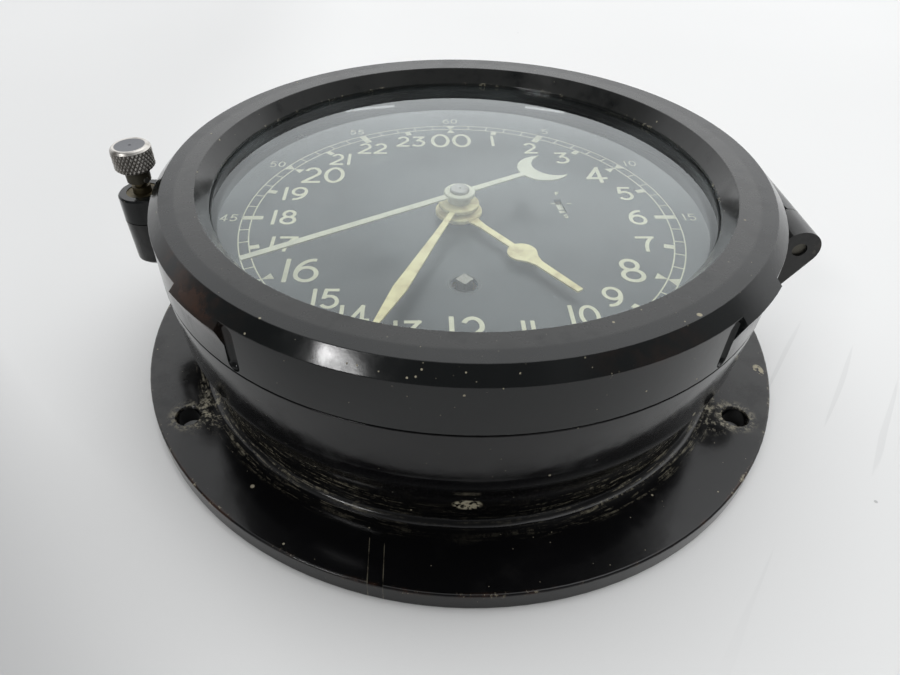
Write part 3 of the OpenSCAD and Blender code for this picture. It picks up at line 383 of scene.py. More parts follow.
def metal(name, colour, dull, roughness, grain=0.0006, stain=0.3):
    """Worked metal: a base colour with duller stains, as many as stain says, and a roughness
    broken by two noises, of which the finer one has patches as wide as grain."""
    paint = Finish(name)
    cloud = paint.noise(0.006, 4)
    fine = paint.noise(grain, 3)
    colour_mix = paint.tint(cloud.above(0.42, 0.72) * stain, colour, dull)
    rough = fine * 0.16 + cloud * 0.10 + (roughness - 0.13)
    relief = paint.bump(fine, 0.00001)
    return paint.finish(
        paint.shade(Base_Color=colour_mix, Metallic=1.0, Roughness=rough, Normal=relief)
    )


brass_plate = metal("plate_brass", (0.62, 0.45, 0.19, 1), (0.36, 0.23, 0.10, 1), 0.32)
brass_wheel = metal("wheel_brass", (0.70, 0.52, 0.22, 1), (0.42, 0.28, 0.12, 1), 0.24)
bright_steel = metal("arbor_steel", (0.56, 0.56, 0.55, 1), (0.36, 0.35, 0.33, 1), 0.26)
grimy_brass = metal("grimy_brass", (0.12, 0.10, 0.06, 1), (0.02, 0.018, 0.012, 1), 0.5, 0.0004, 1.0)
dark_steel = metal("dark_steel", (0.10, 0.095, 0.08, 1), (0.03, 0.027, 0.02, 1), 0.5, 0.0004, 0.9)
dull_steel = metal("dull_steel", (0.34, 0.33, 0.31, 1), (0.14, 0.12, 0.10, 1), 0.42, 0.0004, 0.7)
worn_steel = metal("worn_steel", (0.23, 0.22, 0.19, 1), (0.11, 0.095, 0.07, 1), 0.38, 0.0004, 0.8)
blue_steel = metal("blued_steel", (0.05, 0.08, 0.22, 1), (0.03, 0.04, 0.10, 1), 0.25)
print("eight metals")

# %% [markdown]
# ## Wear of the ring
# The case and ring are moulded from a hard black resin and polished. On the ring, handling
# has dulled the flat, years of touch have worn the chamfer and the left finger pad to a faint
# brown, and pale crumbs lie on its front. A painted picture could hold these marks, but a
# mask needs only a point's distance to the dial's axis, its height, its angle and some noise.

# %% Wear of the ring
ring_top = 0.0627
ring_opening = 0.0704
chamfer_start = 0.0825
chamfer_foot = 0.0585
pad_foot = 0.05275
pad_head = 0.0591
lip_height = 0.0581
filmed_radius = 0.0785
touched_left = (-2.42, 0.26)
touched_right = (-1.15, 0.22)
flecked_front = (-1.62, 0.42)
crumbs_at = (-1.05, 0.60)


def ring_wear(paint, distance, angle, height, smudge, scuffs):
    """Masks of the ring: worn brown, dirty and filmed; and its roughness. The angle is counted
    in radians from the hinge's side, so that the front is at -1.57, and a place on the ring
    is an angle and how far it reaches to either side."""
    past_flat = distance.above(chamfer_start - 0.0003, chamfer_start + 0.0003)
    chamfer = past_flat * height.above(chamfer_foot - 0.0007, chamfer_foot + 0.0007)
    pads = height.above(pad_foot - 0.00075, pad_foot + 0.00075)
    pads = pads * height.below(pad_head - 0.0009, pad_head + 0.0009)
    left = angle.near(*touched_left)
    right = angle.near(*touched_right)
    worn = chamfer * smudge.above(0.42, 0.66) * (left + right * 0.3) + pads * left * 0.4
    lip = distance.below(ring_opening + 0.00005, ring_opening + 0.0004)
    lip = lip * height.below(lip_height, lip_height + 0.0005)
    dirt_and_highlights = lip * scuffs.above(0.52, 0.64) * smudge.above(0.48, 0.64) * 0.6
    front = chamfer * angle.near(*flecked_front)
    flecks = front * paint.flecks(0.0014, 0.48, 0.19) * scuffs.above(0.35, 0.5) * 0.8
    near_top = height.above(ring_top - 0.0007, ring_top - 0.0003)
    grain = near_top * distance.below(chamfer_start - 0.0001, chamfer_start + 0.0003)
    crumbs = grain * paint.flecks(0.0016, 0.22, 0.13) * angle.near(*crumbs_at) * 0.7
    flat = height.above(ring_top - 0.00035, ring_top - 0.00015)
    flat = flat * distance.below(chamfer_start - 0.0003, chamfer_start + 0.0002)
    film = distance.below(filmed_radius - 0.0005, filmed_radius + 0.0005)
    film = film * smudge.above(0.20, 0.50) * 0.45
    return worn.least(1.0), (dirt_and_highlights + flecks + crumbs).least(1.0), film, flat * 0.13 + 0.12


print("ring's flat at", ring_top)

# %% [markdown]
# ## Wear of the case, and painted highlights on its edges
# A cloth never reaches the bottom of the cove above the flange, so grit has stayed there in
# fine rings, and a crust sticks to its front. Pale dust lies round the two front screw holes,
# and a grey film dulls the flange at both sides. Painted highlights lie as pale lines along the
# moulded step and as pale patches and a spot on the flange's worn edge. Each mark is a mask
# again, in a small function of its own where it needs more than a few lines.

# %% Wear and painted highlights of the case
flange_top = 0.0057
flange_radius = 0.0984
cove_inner = 0.0780
cove_outer = 0.0845
grit_left = (-2.38, 0.72)
grit_right = (-0.86, 0.62)
low_fade = (0.0105, 0.0220)
screw_hole = (0.0779, -0.0450)
screw_hole_radius = 0.0032
collar_fade = (0.0042, 0.0068)
dusty_corner = (0.0715, -0.0430)
dusty_reach = (0.0065, 0.0100)
spots_fade = (0.0080, 0.0150)
flange_edge_glint = (0.0919, -0.0262)
flange_edge_glint_reach = (0.0016, 0.0026)
step_middle = -0.0220
step_half_width = 0.0018
step_front = -0.0835
crust = (-0.0004, 0.0132)
crust_reach = (0.0040, 0.0024)
crust_front = -0.074
edge_band_heights = (0.0040, 0.0052)
film_outwards = (0.0830, 0.0880)
film_sideways = (0.070, 0.088)


def ellipse(across, along, centre, reach):
    """The squared distance from a centre, counted in the ellipse's own half axes."""
    first, second = (across - centre[0]) / reach[0], (along - centre[1]) / reach[1]
    return first * first + second * second


def grit_in_cove(paint, distance, angle, height, scuffs):
    """Dust that lies in rings in the cove, most of it at the front left and right; and the
    mask of all that is low on the case."""
    ring_place = paint.add("CombineXYZ", inputs={0: distance, 1: angle * 0.006, 2: height})
    rings = paint.noise(0.0006, 3, 0.6, ring_place)
    sides = angle.near(*grit_left) + angle.near(*grit_right)
    low = height.above(flange_top - 0.0005, flange_top + 0.0001) * height.below(*low_fade)
    cove = low * distance.above(cove_inner - 0.0005, cove_inner + 0.0005)
    cove = cove * distance.below(cove_outer - 0.0015, cove_outer + 0.0015)
    grit = cove * rings.above(0.49, 0.68) * (sides + 0.12).least(1.0)
    return grit * scuffs.above(0.36, 0.62) * 0.5, low


def spots_on_flange(side, y, x, height, scuffs):
    """Pale dust round the screw holes and inward of them, and a painted highlight as a pale spot
    on the flange's edge.
    """
    hole_x, hole_y = side - screw_hole[0], y - screw_hole[1]
    hole = (hole_x * hole_x + hole_y * hole_y) ** 0.5
    rim = hole.above(screw_hole_radius - 0.0002, screw_hole_radius + 0.0002)
    collar = rim * hole.below(*collar_fade) * scuffs.above(0.42, 0.62)
    inward = side.near(dusty_corner[0], dusty_reach[0])
    inward = inward * y.near(dusty_corner[1], dusty_reach[1])
    inward = inward * scuffs.above(0.52, 0.64)
    # Painted highlight: a pale spot on the flange's edge, where it catches the light.
    painted_edge_glint = ellipse(x, y, flange_edge_glint, flange_edge_glint_reach).below(0.3, 1.0) * scuffs.above(0.44, 0.50)
    dust_and_glint_spots = collar * 0.40 + inward * 0.5 + painted_edge_glint * 2
    above_flange = height.above(flange_top - 0.0005, flange_top - 0.0001)
    return dust_and_glint_spots * above_flange * height.below(*spots_fade)


def case_wear(paint, distance, angle, height, smudge, scuffs):
    """Masks of the case: worn at the flange's edge, dirty, filmed, and with painted highlights
    along the step and on the flange's edge; and its roughness.
    """
    x, y, z = paint.place().split()
    side = abs(x)
    grit, low = grit_in_cove(paint, distance, angle, height, scuffs)
    dust_and_glint_spots = spots_on_flange(side, y, x, height, scuffs)
    # Painted highlight: pale lines along both edges of the moulded step.
    from_step = abs(x - step_middle)
    painted_step_highlight = from_step.above(step_half_width - 0.00015, step_half_width)
    painted_step_highlight = painted_step_highlight * from_step.below(step_half_width, step_half_width + 0.00015)
    painted_step_highlight = painted_step_highlight * y.below(step_front - 0.0005, step_front) * smudge.above(0.40, 0.55) * 0.35
    crusty = ellipse(x, z, crust, crust_reach).below(0.15, 1.0)
    crusty = crusty * y.below(crust_front - 0.001, crust_front)
    crusty = (crusty * 1.6 * scuffs.above(0.45, 0.55)).least(1.0)
    # The flange's edge is worn brown; its pale patches, added to the dirt below, are painted
    # highlight.
    edge = distance.above(flange_radius - 0.0012, flange_radius - 0.0003)
    worn = edge * height.above(*edge_band_heights) * smudge.above(0.45, 0.7)
    dirt_and_highlights = grit + dust_and_glint_spots + crusty + painted_step_highlight + worn * scuffs.above(0.56, 0.64)
    film = height.above(flange_top - 0.0005, flange_top - 0.0001)
    film = film * distance.above(*film_outwards)
    film = film * side.above(*film_sideways) * smudge.above(0.25, 0.60) * 0.50
    return worn, dirt_and_highlights.least(1.0), film, 0.10 + low * 0.03


print("flange's edge at", flange_radius)

# %% [markdown]
# ## Black moulded plastic
# One function makes both blacks, because the resin is the same and only its marks differ:
# brown where it is worn, grey where a film lies on it, pale where there is dust and where a
# highlight is painted on the case's edges. A second, much finer relief keeps the reflections
# from being perfect.

# %% Black plastic
worn_brown = (0.050, 0.022, 0.012, 1)
film_grey = (0.050, 0.050, 0.048, 1)
grime_black = (0.012, 0.0115, 0.011, 1)
# Pale colour for dust, and for the painted highlights on the case's edges.
dust_and_highlight_pale = (0.44, 0.40, 0.29, 1)


def moulded_black(name, wear_and_highlights, base, ior):
    """Polished black resin. The second argument is the function that says where it is worn,
    dirty, filmed and painted with highlights, and ior is low where the polish mirrors less."""
    paint = Finish(name)
    distance, angle, height = paint.polar()
    haze = paint.noise(0.03, 4)
    smudge = paint.noise(0.009, 5, 0.65)
    pits = paint.noise(0.0011, 2)
    scuffs = paint.noise(0.0016, 3, 0.7)
    dust = paint.flecks(0.0034, 0.10, 0.10) + paint.flecks(0.009, 0.12, 0.075)
    dust = dust + paint.flecks(0.0013, 0.05, 0.13) * 0.5
    worn, dirt_and_highlights, film, rough = wear_and_highlights(paint, distance, angle, height, smudge, scuffs)
    brown = paint.tint(worn * 0.75, base, worn_brown)
    filmed = paint.tint(film, brown, film_grey)
    grubby = paint.tint(smudge.above(0.55, 0.85) * 0.4, filmed, grime_black)
    # Pale where there is dust, and where the case's masks paint a highlight.
    pale_marked = paint.tint((dust * 0.75 + dirt_and_highlights).least(1.0), grubby, dust_and_highlight_pale)
    roughness = rough + smudge.above(0.4, 0.8) * 0.12 + (dust + dirt_and_highlights).least(1.0) * 0.5
    relief = paint.bump(pits, 0.000005, paint.bump(haze, 0.00010))
    shader = paint.shade(Base_Color=pale_marked, Roughness=roughness, Normal=relief, IOR=ior)
    return paint.finish(shader)


case_black = moulded_black("case_black", case_wear, (0.0030, 0.0030, 0.0034, 1), 1.39)
ring_black = moulded_black("ring_black", ring_wear, (0.0064, 0.0074, 0.0076, 1), 1.40)
print("two blacks")

# %% [markdown]
# ## Paint of the dial and hands
# The dial's paint is a satin black that the glass makes look blue-grey. Its numbers and the
# hands have a cream paint that has aged unevenly. All of it could be one even colour, but
# clouds of a second colour and a fine relief are what tell paint from paper.

# %% Paints
winding_y = -0.033
eyelet_radius = 0.0045
tick_spacing = 0.00055
base_line_y = 0.0056


def dial_paint():
    """Satin black with dust, darker on the eyelet round the winding hole, with a painted
    highlight as a pale line along its edge.
    """
    paint = Finish("dial_black")
    cloud = paint.noise(0.02, 4)
    fine = paint.noise(0.0008, 3)
    specks = paint.flecks(0.0036, 0.30, 0.08)
    base = paint.tint(cloud.above(0.35, 0.7), (0.018, 0.022, 0.025, 1), (0.044, 0.048, 0.050, 1))
    x, y = paint.place().split()[:2]
    from_hole = (x * x + (y - winding_y) ** 2) ** 0.5
    eyelet = from_hole.below(eyelet_radius - 0.0004, eyelet_radius - 0.0002)
    # Painted highlight: a pale line round the eyelet's edge.
    eyelet_edge_highlight = from_hole.near(eyelet_radius - 0.00003, 0.00022) * 0.6
    eyelet_and_highlight = paint.tint(eyelet, base, (0.008, 0.009, 0.010, 1))
    eyelet_and_highlight = paint.tint(eyelet_edge_highlight, eyelet_and_highlight, (0.16, 0.17, 0.16, 1))
    spotted = paint.tint(specks * 0.7, eyelet_and_highlight, (0.30, 0.31, 0.30, 1))
    relief = paint.bump(fine, 0.000006)
    rough = cloud * 0.12 + 0.30
    return paint.finish(paint.shade(Base_Color=spotted, Roughness=rough, Normal=relief))


def cream_paint(name, colour, aged):
    """Matt cream with clouds of an older, browner colour."""
    paint = Finish(name)
    cloud = paint.noise(0.004, 4)
    fine = paint.noise(0.0005, 3)
    base = paint.tint(cloud.above(0.40, 0.75) * 0.7, colour, aged)
    relief = paint.bump(fine, 0.00002)
    return paint.finish(paint.shade(Base_Color=base, Roughness=0.62, Normal=relief))


def index_paint():
    """Cream with fine dark graduations, for the regulator's scale in its slot."""
    paint = Finish("index_cream")
    x, y = paint.place().split()[:2]
    ticks = (x / tick_spacing).cycle().near(0.5, 0.22) * 0.6 + y.near(base_line_y, 0.00030)
    base = paint.tint(ticks.least(1.0), (0.70, 0.68, 0.52, 1), (0.05, 0.05, 0.05, 1))
    return paint.finish(paint.shade(Base_Color=base, Roughness=0.6))


dial_black = dial_paint()
number_cream = cream_paint("number_cream", (0.68, 0.66, 0.49, 1), (0.56, 0.54, 0.38, 1))
hand_cream = cream_paint("hand_cream", (0.82, 0.745, 0.42, 1), (0.46, 0.35, 0.16, 1))
pale_cream = cream_paint("pale_cream", (0.60, 0.59, 0.46, 1), (0.46, 0.46, 0.36, 1))
index_cream = index_paint()
print("five paints")

# %% [markdown]
# ## Glass and rubber
# The glass is thin and nearly flat. A solid glass would bend the light at both faces and need
# many bounces, so each face lets light straight through and mirrors a little of the room,
# more so at a low angle. Blender's Fresnel takes a face seen from behind as the way out of
# solid glass, which mirrors far too much, so the index is turned over there.

# %% Glass and rubber


def clear_glass():
    """Transparent, with a thin uneven film of dust, and a mirror over it that grows at a low
    angle."""
    paint = Finish("clear_glass")
    film = paint.noise(0.03, 5)
    marks = paint.flecks(0.006, 0.04, 0.05)
    mirror = paint.add("BsdfGlossy", inputs={"Color": (0.95, 0.99, 1.0, 1), "Roughness": 0.035})
    through = paint.add("BsdfTransparent", inputs={"Color": (0.955, 0.970, 0.968, 1)})
    haze = paint.add("BsdfDiffuse", inputs={"Color": (0.58, 0.66, 0.67, 1)})
    pale_marked = (film.above(0.40, 0.66) * 0.030 + marks * 0.25).least(1.0)
    clear = paint.add("MixShader", inputs={0: pale_marked, 1: through, 2: haze})
    inside = paint.add("NewGeometry", output="Backfacing")
    edge_on = paint.add("Fresnel", inputs={"IOR": 1.5 - inside * (1.5 - 1 / 1.5)})
    return paint.finish(paint.add("MixShader", inputs={0: edge_on, 1: clear, 2: mirror}))


def rubber(name, colour, rough):
    """Dull and cloudy, with a coarse relief."""
    paint = Finish(name)
    cloud = paint.noise(0.003, 4)
    darker = tuple(0.5 * part for part in colour[:3]) + (1,)
    base = paint.tint(cloud.above(0.3, 0.8), colour, darker)
    relief = paint.bump(cloud, 0.00015)
    return paint.finish(paint.shade(Base_Color=base, Roughness=rough, Normal=relief))


glass_clear = clear_glass()
seal_black = rubber("seal_black", (0.02, 0.02, 0.021, 1), 0.6)
ring_enamel = rubber("ring_enamel", (0.012, 0.012, 0.013, 1), 0.4)
print("glass and rubber ready")

# %% [markdown]
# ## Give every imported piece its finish
# Pieces of one metal share one material. Each could be dressed where it is made, but the
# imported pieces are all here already, so a dictionary from material to names keeps it in one
# place.

# %% Assign finishes
finishes = {
    dial_black: ["dial"],
    hand_cream: ["hour_hand", "minute_hand"],
    pale_cream: ["second_hand"],
    glass_clear: ["glass"],
    seal_black: ["rim_gasket", "glass_gasket"],
    ring_enamel: ["glass_ring"],
    grimy_brass: ["latch_insert", "latch_ferrule", "thumbscrew"],
    dark_steel: ["hinge_pin"],
    dull_steel: ["stem_pin", "latch_clip", "hand_cap"],
    worn_steel: ["winding_arbor"],
    brass_plate: [
        "back_plate", "front_plate", "plate_pillars", "centre_bridge", "balance_cock",
        "pallet_bridge",
    ],
    brass_wheel: [
        "barrel", "barrel_gear", "barrel_cover", "intermediate_wheel", "centre_wheel",
        "third_wheel", "fourth_wheel", "escape_wheel", "minute_wheel", "hour_wheel",
        "hour_pipe", "cannon_pinion", "cannon_pipe", "balance_wheel",
    ],
    blue_steel: ["movement_screws", "plate_screws", "hairspring", "mainspring"],
    bright_steel: [
        "click_spring", "minute_post", "seconds_arbor", "sweep_pinion", "centre_arbor",
        "intermediate_arbor", "third_arbor", "third_pinion", "fourth_arbor", "escape_arbor",
        "pallet_lever", "balance_staff", "ratchet_wheel", "click",
        "ring_screws", "dial_screws", "thumb_knob",
    ],
    index_cream: ["regulator"],
    case_black: ["case_body"],
    ring_black: ["bezel"],
}
for material, names in finishes.items():
    for name in names:
        nodes[name].data.materials.clear()
        nodes[name].data.materials.append(material)
print(sum(len(names) for names in finishes.values()), "nodes dressed")

# %% [markdown]
# ## Smooth skins
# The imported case, ring, hands and turned pieces are made of flat triangles, and on a polished
# surface each one would show. Finer triangles would still show as smaller facets, but a copy
# of the mesh whose doubled points are joined can be shaded smooth, with sharp edges kept
# where two faces meet at a real corner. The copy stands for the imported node.

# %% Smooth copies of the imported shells


def skin(node, body, corner=28):
    """A joined, smoothly shaded copy of a node that keeps edges above corner degrees."""
    mesh = nodes[node].data.copy()
    piece = bpy.data.objects.new(node + "_skin", mesh)
    bpy.context.scene.collection.objects.link(piece)
    work = bmesh.new()
    work.from_mesh(mesh)
    bmesh.ops.remove_doubles(work, verts=work.verts, dist=1e-6)
    for face in work.faces:
        face.smooth = True
    for edge in work.edges:
        edge.smooth = len(edge.link_faces) == 2 and edge.calc_face_angle(0) < math.radians(corner)
    work.to_mesh(mesh)
    work.free()
    weighted = piece.modifiers.new("weighted", "WEIGHTED_NORMAL")
    weighted.mode = "FACE_AREA"
    weighted.keep_sharp = True
    weighted.weight = 80
    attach(piece, body)
    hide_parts(node)
    return piece


shells = [
    ("case_body", "case", "case_plastic"),
    ("bezel", "bezel_frame", "bezel_plastic"),
    ("glass_gasket", "bezel_frame", "bead"),
    ("hour_hand", "hour_work", "hand_paint"),
    ("minute_hand", "minute_work", "hand_paint"),
    ("second_hand", "sweep", "hand_paint"),
    ("hand_cap", "sweep", "cap_steel"),
    ("thumbscrew", "latch_screw", "screw_brass"),
    ("latch_ferrule", "bezel_frame", "insert_brass"),
    ("hinge_pin", "case", "pin_steel"),
    ("winding_arbor", "winding", "arbor_steel"),
]
for node, body, slot in shells:
    piece = skin(node, body)
    print(piece.name, len(piece.data.polygons), "faces")

# %% [markdown]
# ## The domed glass
# The glass is a shallow dome and it mirrors the room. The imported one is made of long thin
# triangles that would make its reflections ripple, so an even grid stands for it: two parts
# of spheres with the same centre, joined by the rim that the seal holds.

# %% Glass dome
dome_radius = 0.498108
dome_centre = -0.436008
dome_thickness = 0.0025
dome_rim = 0.0731
dome_rings = 28
dome_columns = 160


def dome(outer_radius, thickness, centre_z, rim_radius, rings, columns):
    """Two caps: height = centre + root of (sphere radius squared minus distance squared), the
    outer one from its pole to the rim and the inner one back from the rim to its pole."""
    reach = np.linspace(0, 1, rings + 1)[1:] * rim_radius
    outer = centre_z + np.sqrt(outer_radius ** 2 - reach ** 2)
    inner = centre_z + np.sqrt((outer_radius - thickness) ** 2 - reach ** 2)
    distance = np.concatenate([reach, reach[::-1]])[:, None]
    height = np.concatenate([outer, inner[::-1]])[:, None]
    angle = np.linspace(0, 2 * math.pi, columns, endpoint=False)[None, :]
    grid = np.stack([
        distance * np.cos(angle), distance * np.sin(angle),
        np.broadcast_to(height, (2 * rings, columns)),
    ], axis=2).reshape(-1, 3)
    poles = [[0, 0, centre_z + outer_radius], [0, 0, centre_z + outer_radius - thickness]]
    column = np.arange(columns)
    after = (column + 1) % columns
    row = np.arange(2 * rings - 1)[:, None] * columns
    quads = np.stack([
        row + column, row + columns + column, row + columns + after, row + after
    ], axis=2).reshape(-1, 4).tolist()
    top = len(grid)
    last = (2 * rings - 1) * columns
    fans = [(top, a, b) for a, b in zip(column.tolist(), after.tolist())]
    fans += [(top + 1, last + b, last + a) for a, b in zip(column.tolist(), after.tolist())]
    mesh = bpy.data.meshes.new("glass_dome")
    mesh.from_pydata(np.concatenate([grid, poles]).tolist(), [], quads + fans)
    return mesh


def keep_rim_sharp(mesh, rings, columns):
    """Smooth shading on both caps, and none on the band between row rings - 1 and row rings,
    whose two edges are sharp."""
    smooth = np.ones(len(mesh.polygons), bool)
    smooth[(rings - 1) * columns:rings * columns] = False
    mesh.polygons.foreach_set("use_smooth", smooth)
    ends = np.empty(2 * len(mesh.edges), np.int32)
    mesh.edges.foreach_get("vertices", ends)
    first, second = ends.reshape(-1, 2).T // columns
    on_rim = (first == second) & ((first == rings - 1) | (first == rings))
    mesh.edges.foreach_set("use_edge_sharp", on_rim)


dome_mesh = dome(
    dome_radius, dome_thickness, dome_centre, dome_rim, dome_rings, dome_columns
)
keep_rim_sharp(dome_mesh, dome_rings, dome_columns)
dome_mesh.materials.append(glass_clear)
glass_dome = bpy.data.objects.new("glass_dome", dome_mesh)
bpy.context.scene.collection.objects.link(glass_dome)
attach(glass_dome, "bezel_frame")
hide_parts("glass")
print("glass", len(dome_mesh.polygons), "faces")

# %% [markdown]
# ## Strokes of paint
# Every mark on the dial is a stroke: a line or an arc with a width, a hair thicker than the
# dial. A stroke could be drawn as text, but the clock's numbers have wide round shapes that
# no built-in font has, and they are easy to give as a few arcs and lines. The marks are solid
# strips, so they are real meshes and not pictures.

# %% Strips and plates
dial_height = 0.04383
paint_low = dial_height - 0.00002
paint_high = dial_height + 0.00007
crossing_lift = 2e-6
crossing_levels = 6


class Marks:
    """Collects flat solids and makes one mesh of them."""

    def __init__(self):
        self.points = []
        self.faces = []
        self.count = 0
        self.strips = 0

    def add(self, points, faces):
        """Keeps one solid, whose faces count from its own first point."""
        self.points.append(points)
        self.faces.extend((np.asarray(face) + self.count).tolist() for face in faces)
        self.count += len(points)

    def strip(self, path, width, closed=False):
        """A band of the given width along path: each point is pushed half the width to the
        left and to the right, square to the path's direction there, at two heights. Bands
        that cross differ in height by a few thousandths of a millimetre."""
        self.strips += 1
        top = paint_high + crossing_lift * (self.strips % crossing_levels)
        ahead = np.roll(path, -1, axis=0)
        behind = np.roll(path, 1, axis=0)
        if not closed:
            ahead[-1] = path[-1]
            behind[0] = path[0]
        along = ahead - behind
        along = along / np.linalg.norm(along, axis=1)[:, None]
        side = np.stack([-along[:, 1], along[:, 0]], axis=1) * width / 2
        n = len(path)
        rings = np.stack([path + side, path - side, path - side, path + side], axis=1)
        heights = np.broadcast_to([top, top, paint_low, paint_low], (n, 4))
        points = np.concatenate([rings, heights[:, :, None]], axis=2).reshape(-1, 3)
        first = np.arange(n if closed else n - 1)
        second = (first + 1) % n
        corner = np.arange(4)
        next_corner = (corner + 1) % 4
        quads = np.stack([
            first[:, None] * 4 + corner,
            second[:, None] * 4 + corner,
            second[:, None] * 4 + next_corner,
            first[:, None] * 4 + next_corner,
        ], axis=2).reshape(-1, 4)
        ends = [] if closed else [[0, 1, 2, 3], [4 * n - 1, 4 * n - 2, 4 * n - 3, 4 * n - 4]]
        self.add(points, list(quads) + ends)

    def plate(self, outline):
        """A flat plate with a convex outline, listed anticlockwise."""
        n = len(outline)
        low = np.column_stack([outline, np.full(n, paint_low)])
        high = np.column_stack([outline, np.full(n, paint_high)])
        around = np.arange(n)
        after = (around + 1) % n
        walls = np.stack([around, after, after + n, around + n], axis=1)
        self.add(np.concatenate([low, high]), list(walls) + [around[::-1], around + n])

    def piece(self, name, material):
        """Makes one mesh of what was collected; it stays on the case."""
        mesh = bpy.data.meshes.new(name)
        mesh.from_pydata(np.concatenate(self.points).tolist(), [], self.faces)
        work = bmesh.new()
        work.from_mesh(mesh)
        bmesh.ops.recalc_face_normals(work, faces=work.faces)
        work.to_mesh(mesh)
        work.free()
        mesh.materials.append(material)
        made = bpy.data.objects.new(name, mesh)
        bpy.context.scene.collection.objects.link(made)
        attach(made, "case")
        print(name, len(mesh.polygons), "faces")


# %% [markdown]
# ## The shapes of the numbers
# Each figure is given in a box that is 1 wide and 1 high, and then stretched to its size on
# the dial. `bow` is part of an ellipse and `line` a straight stroke. Every figure has its own
# share of the height as its width, because a 2 is narrower than a 4.

# %% Figures as arcs and lines


def bow(cx, cy, rx, ry, start, stop, steps=28):
    """Points of an ellipse with centre cx, cy and half axes rx, ry, from the angle start to
    the angle stop, in degrees."""
    angle = np.radians(np.linspace(start, stop, steps))
    return np.stack([cx + rx * np.cos(angle), cy + ry * np.sin(angle)], axis=1)


def line(*points):
    """Straight from point to point."""
    return np.array(points, float)


six = [bow(0.5, 0.32, 0.5, 0.32, 0, 360, 40), bow(0.80, 0.36, 0.80, 0.64, 180, 82)]
figures = {
    "0": [bow(0.5, 0.5, 0.5, 0.5, 0, 360, 48)],
    "1": [line((0.5, 0), (0.5, 1))],
    "2": [
        np.concatenate([bow(0.5, 0.69, 0.46, 0.31, 158, -28), line((0.0, 0.02))]),
        line((0, 0), (1, 0)),
    ],
    "3": [
        line((0.08, 1), (0.90, 1)),
        line((0.90, 1), (0.40, 0.60)),
        bow(0.42, 0.31, 0.56, 0.31, 96, -145),
    ],
    "4": [line((0.69, 1), (0, 0.26)), line((0, 0.26), (1, 0.26)), line((0.69, 1), (0.69, 0))],
    "5": [
        line((0.16, 1), (0.92, 1)),
        line((0.16, 1), (0.06, 0.56)),
        bow(0.44, 0.32, 0.55, 0.32, 132, -148),
    ],
    "6": six,
    "7": [line((0, 1), (1, 1)), bow(1.75, 0, 1.4, 1.185, 122.4, 180)],
    "8": [bow(0.5, 0.76, 0.40, 0.24, 0, 360, 36), bow(0.5, 0.26, 0.5, 0.26, 0, 360, 40)],
    "9": [1 - stroke for stroke in six],
    "F": [line((0.1, 0), (0.1, 1)), line((0.1, 1), (0.95, 1)), line((0.1, 0.5), (0.8, 0.5))],
    "S": [bow(0.5, 0.75, 0.42, 0.25, 20, 270), bow(0.5, 0.25, 0.42, 0.25, 90, -160)],
}
shares = {
    "0": 0.635, "1": 0, "2": 0.575, "3": 0.60, "4": 0.64, "5": 0.585, "6": 0.64, "7": 0.65,
    "8": 0.615, "9": 0.635, "F": 0.7, "S": 0.72,
}
print(len(figures), "figures")

# %% [markdown]
# ## Writing on the dial
# A number is written figure by figure, centred on its place. The ends of a straight stroke
# reach half a stroke further, so that strokes that meet at a corner fill it.

# %% Writing


def write(marks, text, centre, height, stroke, gap):
    """Draws text upright round a centre. A figure's width is its share of the height, and the
    gap is wider beside a 1."""
    widths = [max(shares[letter] * height, stroke) for letter in text]
    gaps = [gap * (1.6 if "1" in pair else 1) for pair in zip(text, text[1:])]
    left = centre[0] - (sum(widths) + sum(gaps)) / 2
    for letter, wide, space in zip(text, widths, gaps + [0]):
        box = np.array([max(wide - stroke, 0), height - stroke])
        corner = np.array([left + stroke / 2, centre[1] - box[1] / 2])
        if letter == "1":
            corner[0] -= box[0] / 2
        for shape in figures[letter]:
            path = corner + shape * box
            if len(path) == 2:
                reach = path[1] - path[0]
                reach = reach / np.linalg.norm(reach) * stroke / 2
                path = np.stack([path[0] - reach, path[1] + reach])
            loop = len(path) > 30 and np.allclose(path[0], path[-1])
            marks.strip(path[:-1] if loop else path, stroke, closed=loop)
        left += wide + space


def on_dial(radius, clock_angle):
    """A point of the dial; the angle is counted clockwise from the top, in degrees."""
    angle = math.radians(clock_angle)
    return np.array([radius * math.sin(angle), radius * math.cos(angle)])


print("twelve o'clock of a 6 cm circle is at", on_dial(0.06, 0).round(3))

# %% [markdown]
# ## The hours
# The dial counts 24 hours, 15 degrees apart, all upright. Every fourth is larger. They could
# stand on one circle, but a maker spaces such numbers by eye, so each one's centre is given,
# in millimetres: most of the small ones are about 54 from the dial's centre, and the large
# ones about 52. Both kinds have their own height, stroke and gap, in metres.

# %% Hour numbers
large = (0.0107, 0.00125, 0.0009)
small = (0.0082, 0.00105, 0.0008)
hour_centres = [
    (-0.2, 52.6), (14.75, 52.3), (27.5, 46.3), (37.5, 38.75), (46.6, 26.5), (53.35, 14.2),
    (53.55, -0.1), (52.75, -14.6), (45.2, -27.0), (37.7, -38.4), (29.1, -46.0), (14.6, -52.0),
    (-0.2, -51.7), (-14.6, -52.0), (-28.0, -46.0), (-35.8, -39.2), (-43.6, -26.9), (-50.45, -14.4),
    (-52.35, 0.3), (-51.05, 14.6), (-43.4, 26.85), (-38.8, 38.1), (-28.1, 46.4), (-14.6, 51.95),
]
hours = Marks()
for hour, (x, y) in enumerate(hour_centres):
    text = "00" if hour == 0 else str(hour)
    height, stroke, gap = large if hour % 4 == 0 else small
    write(hours, text, (x / 1000, y / 1000), height, stroke, gap)
hours.piece("hour_numbers", number_cream)

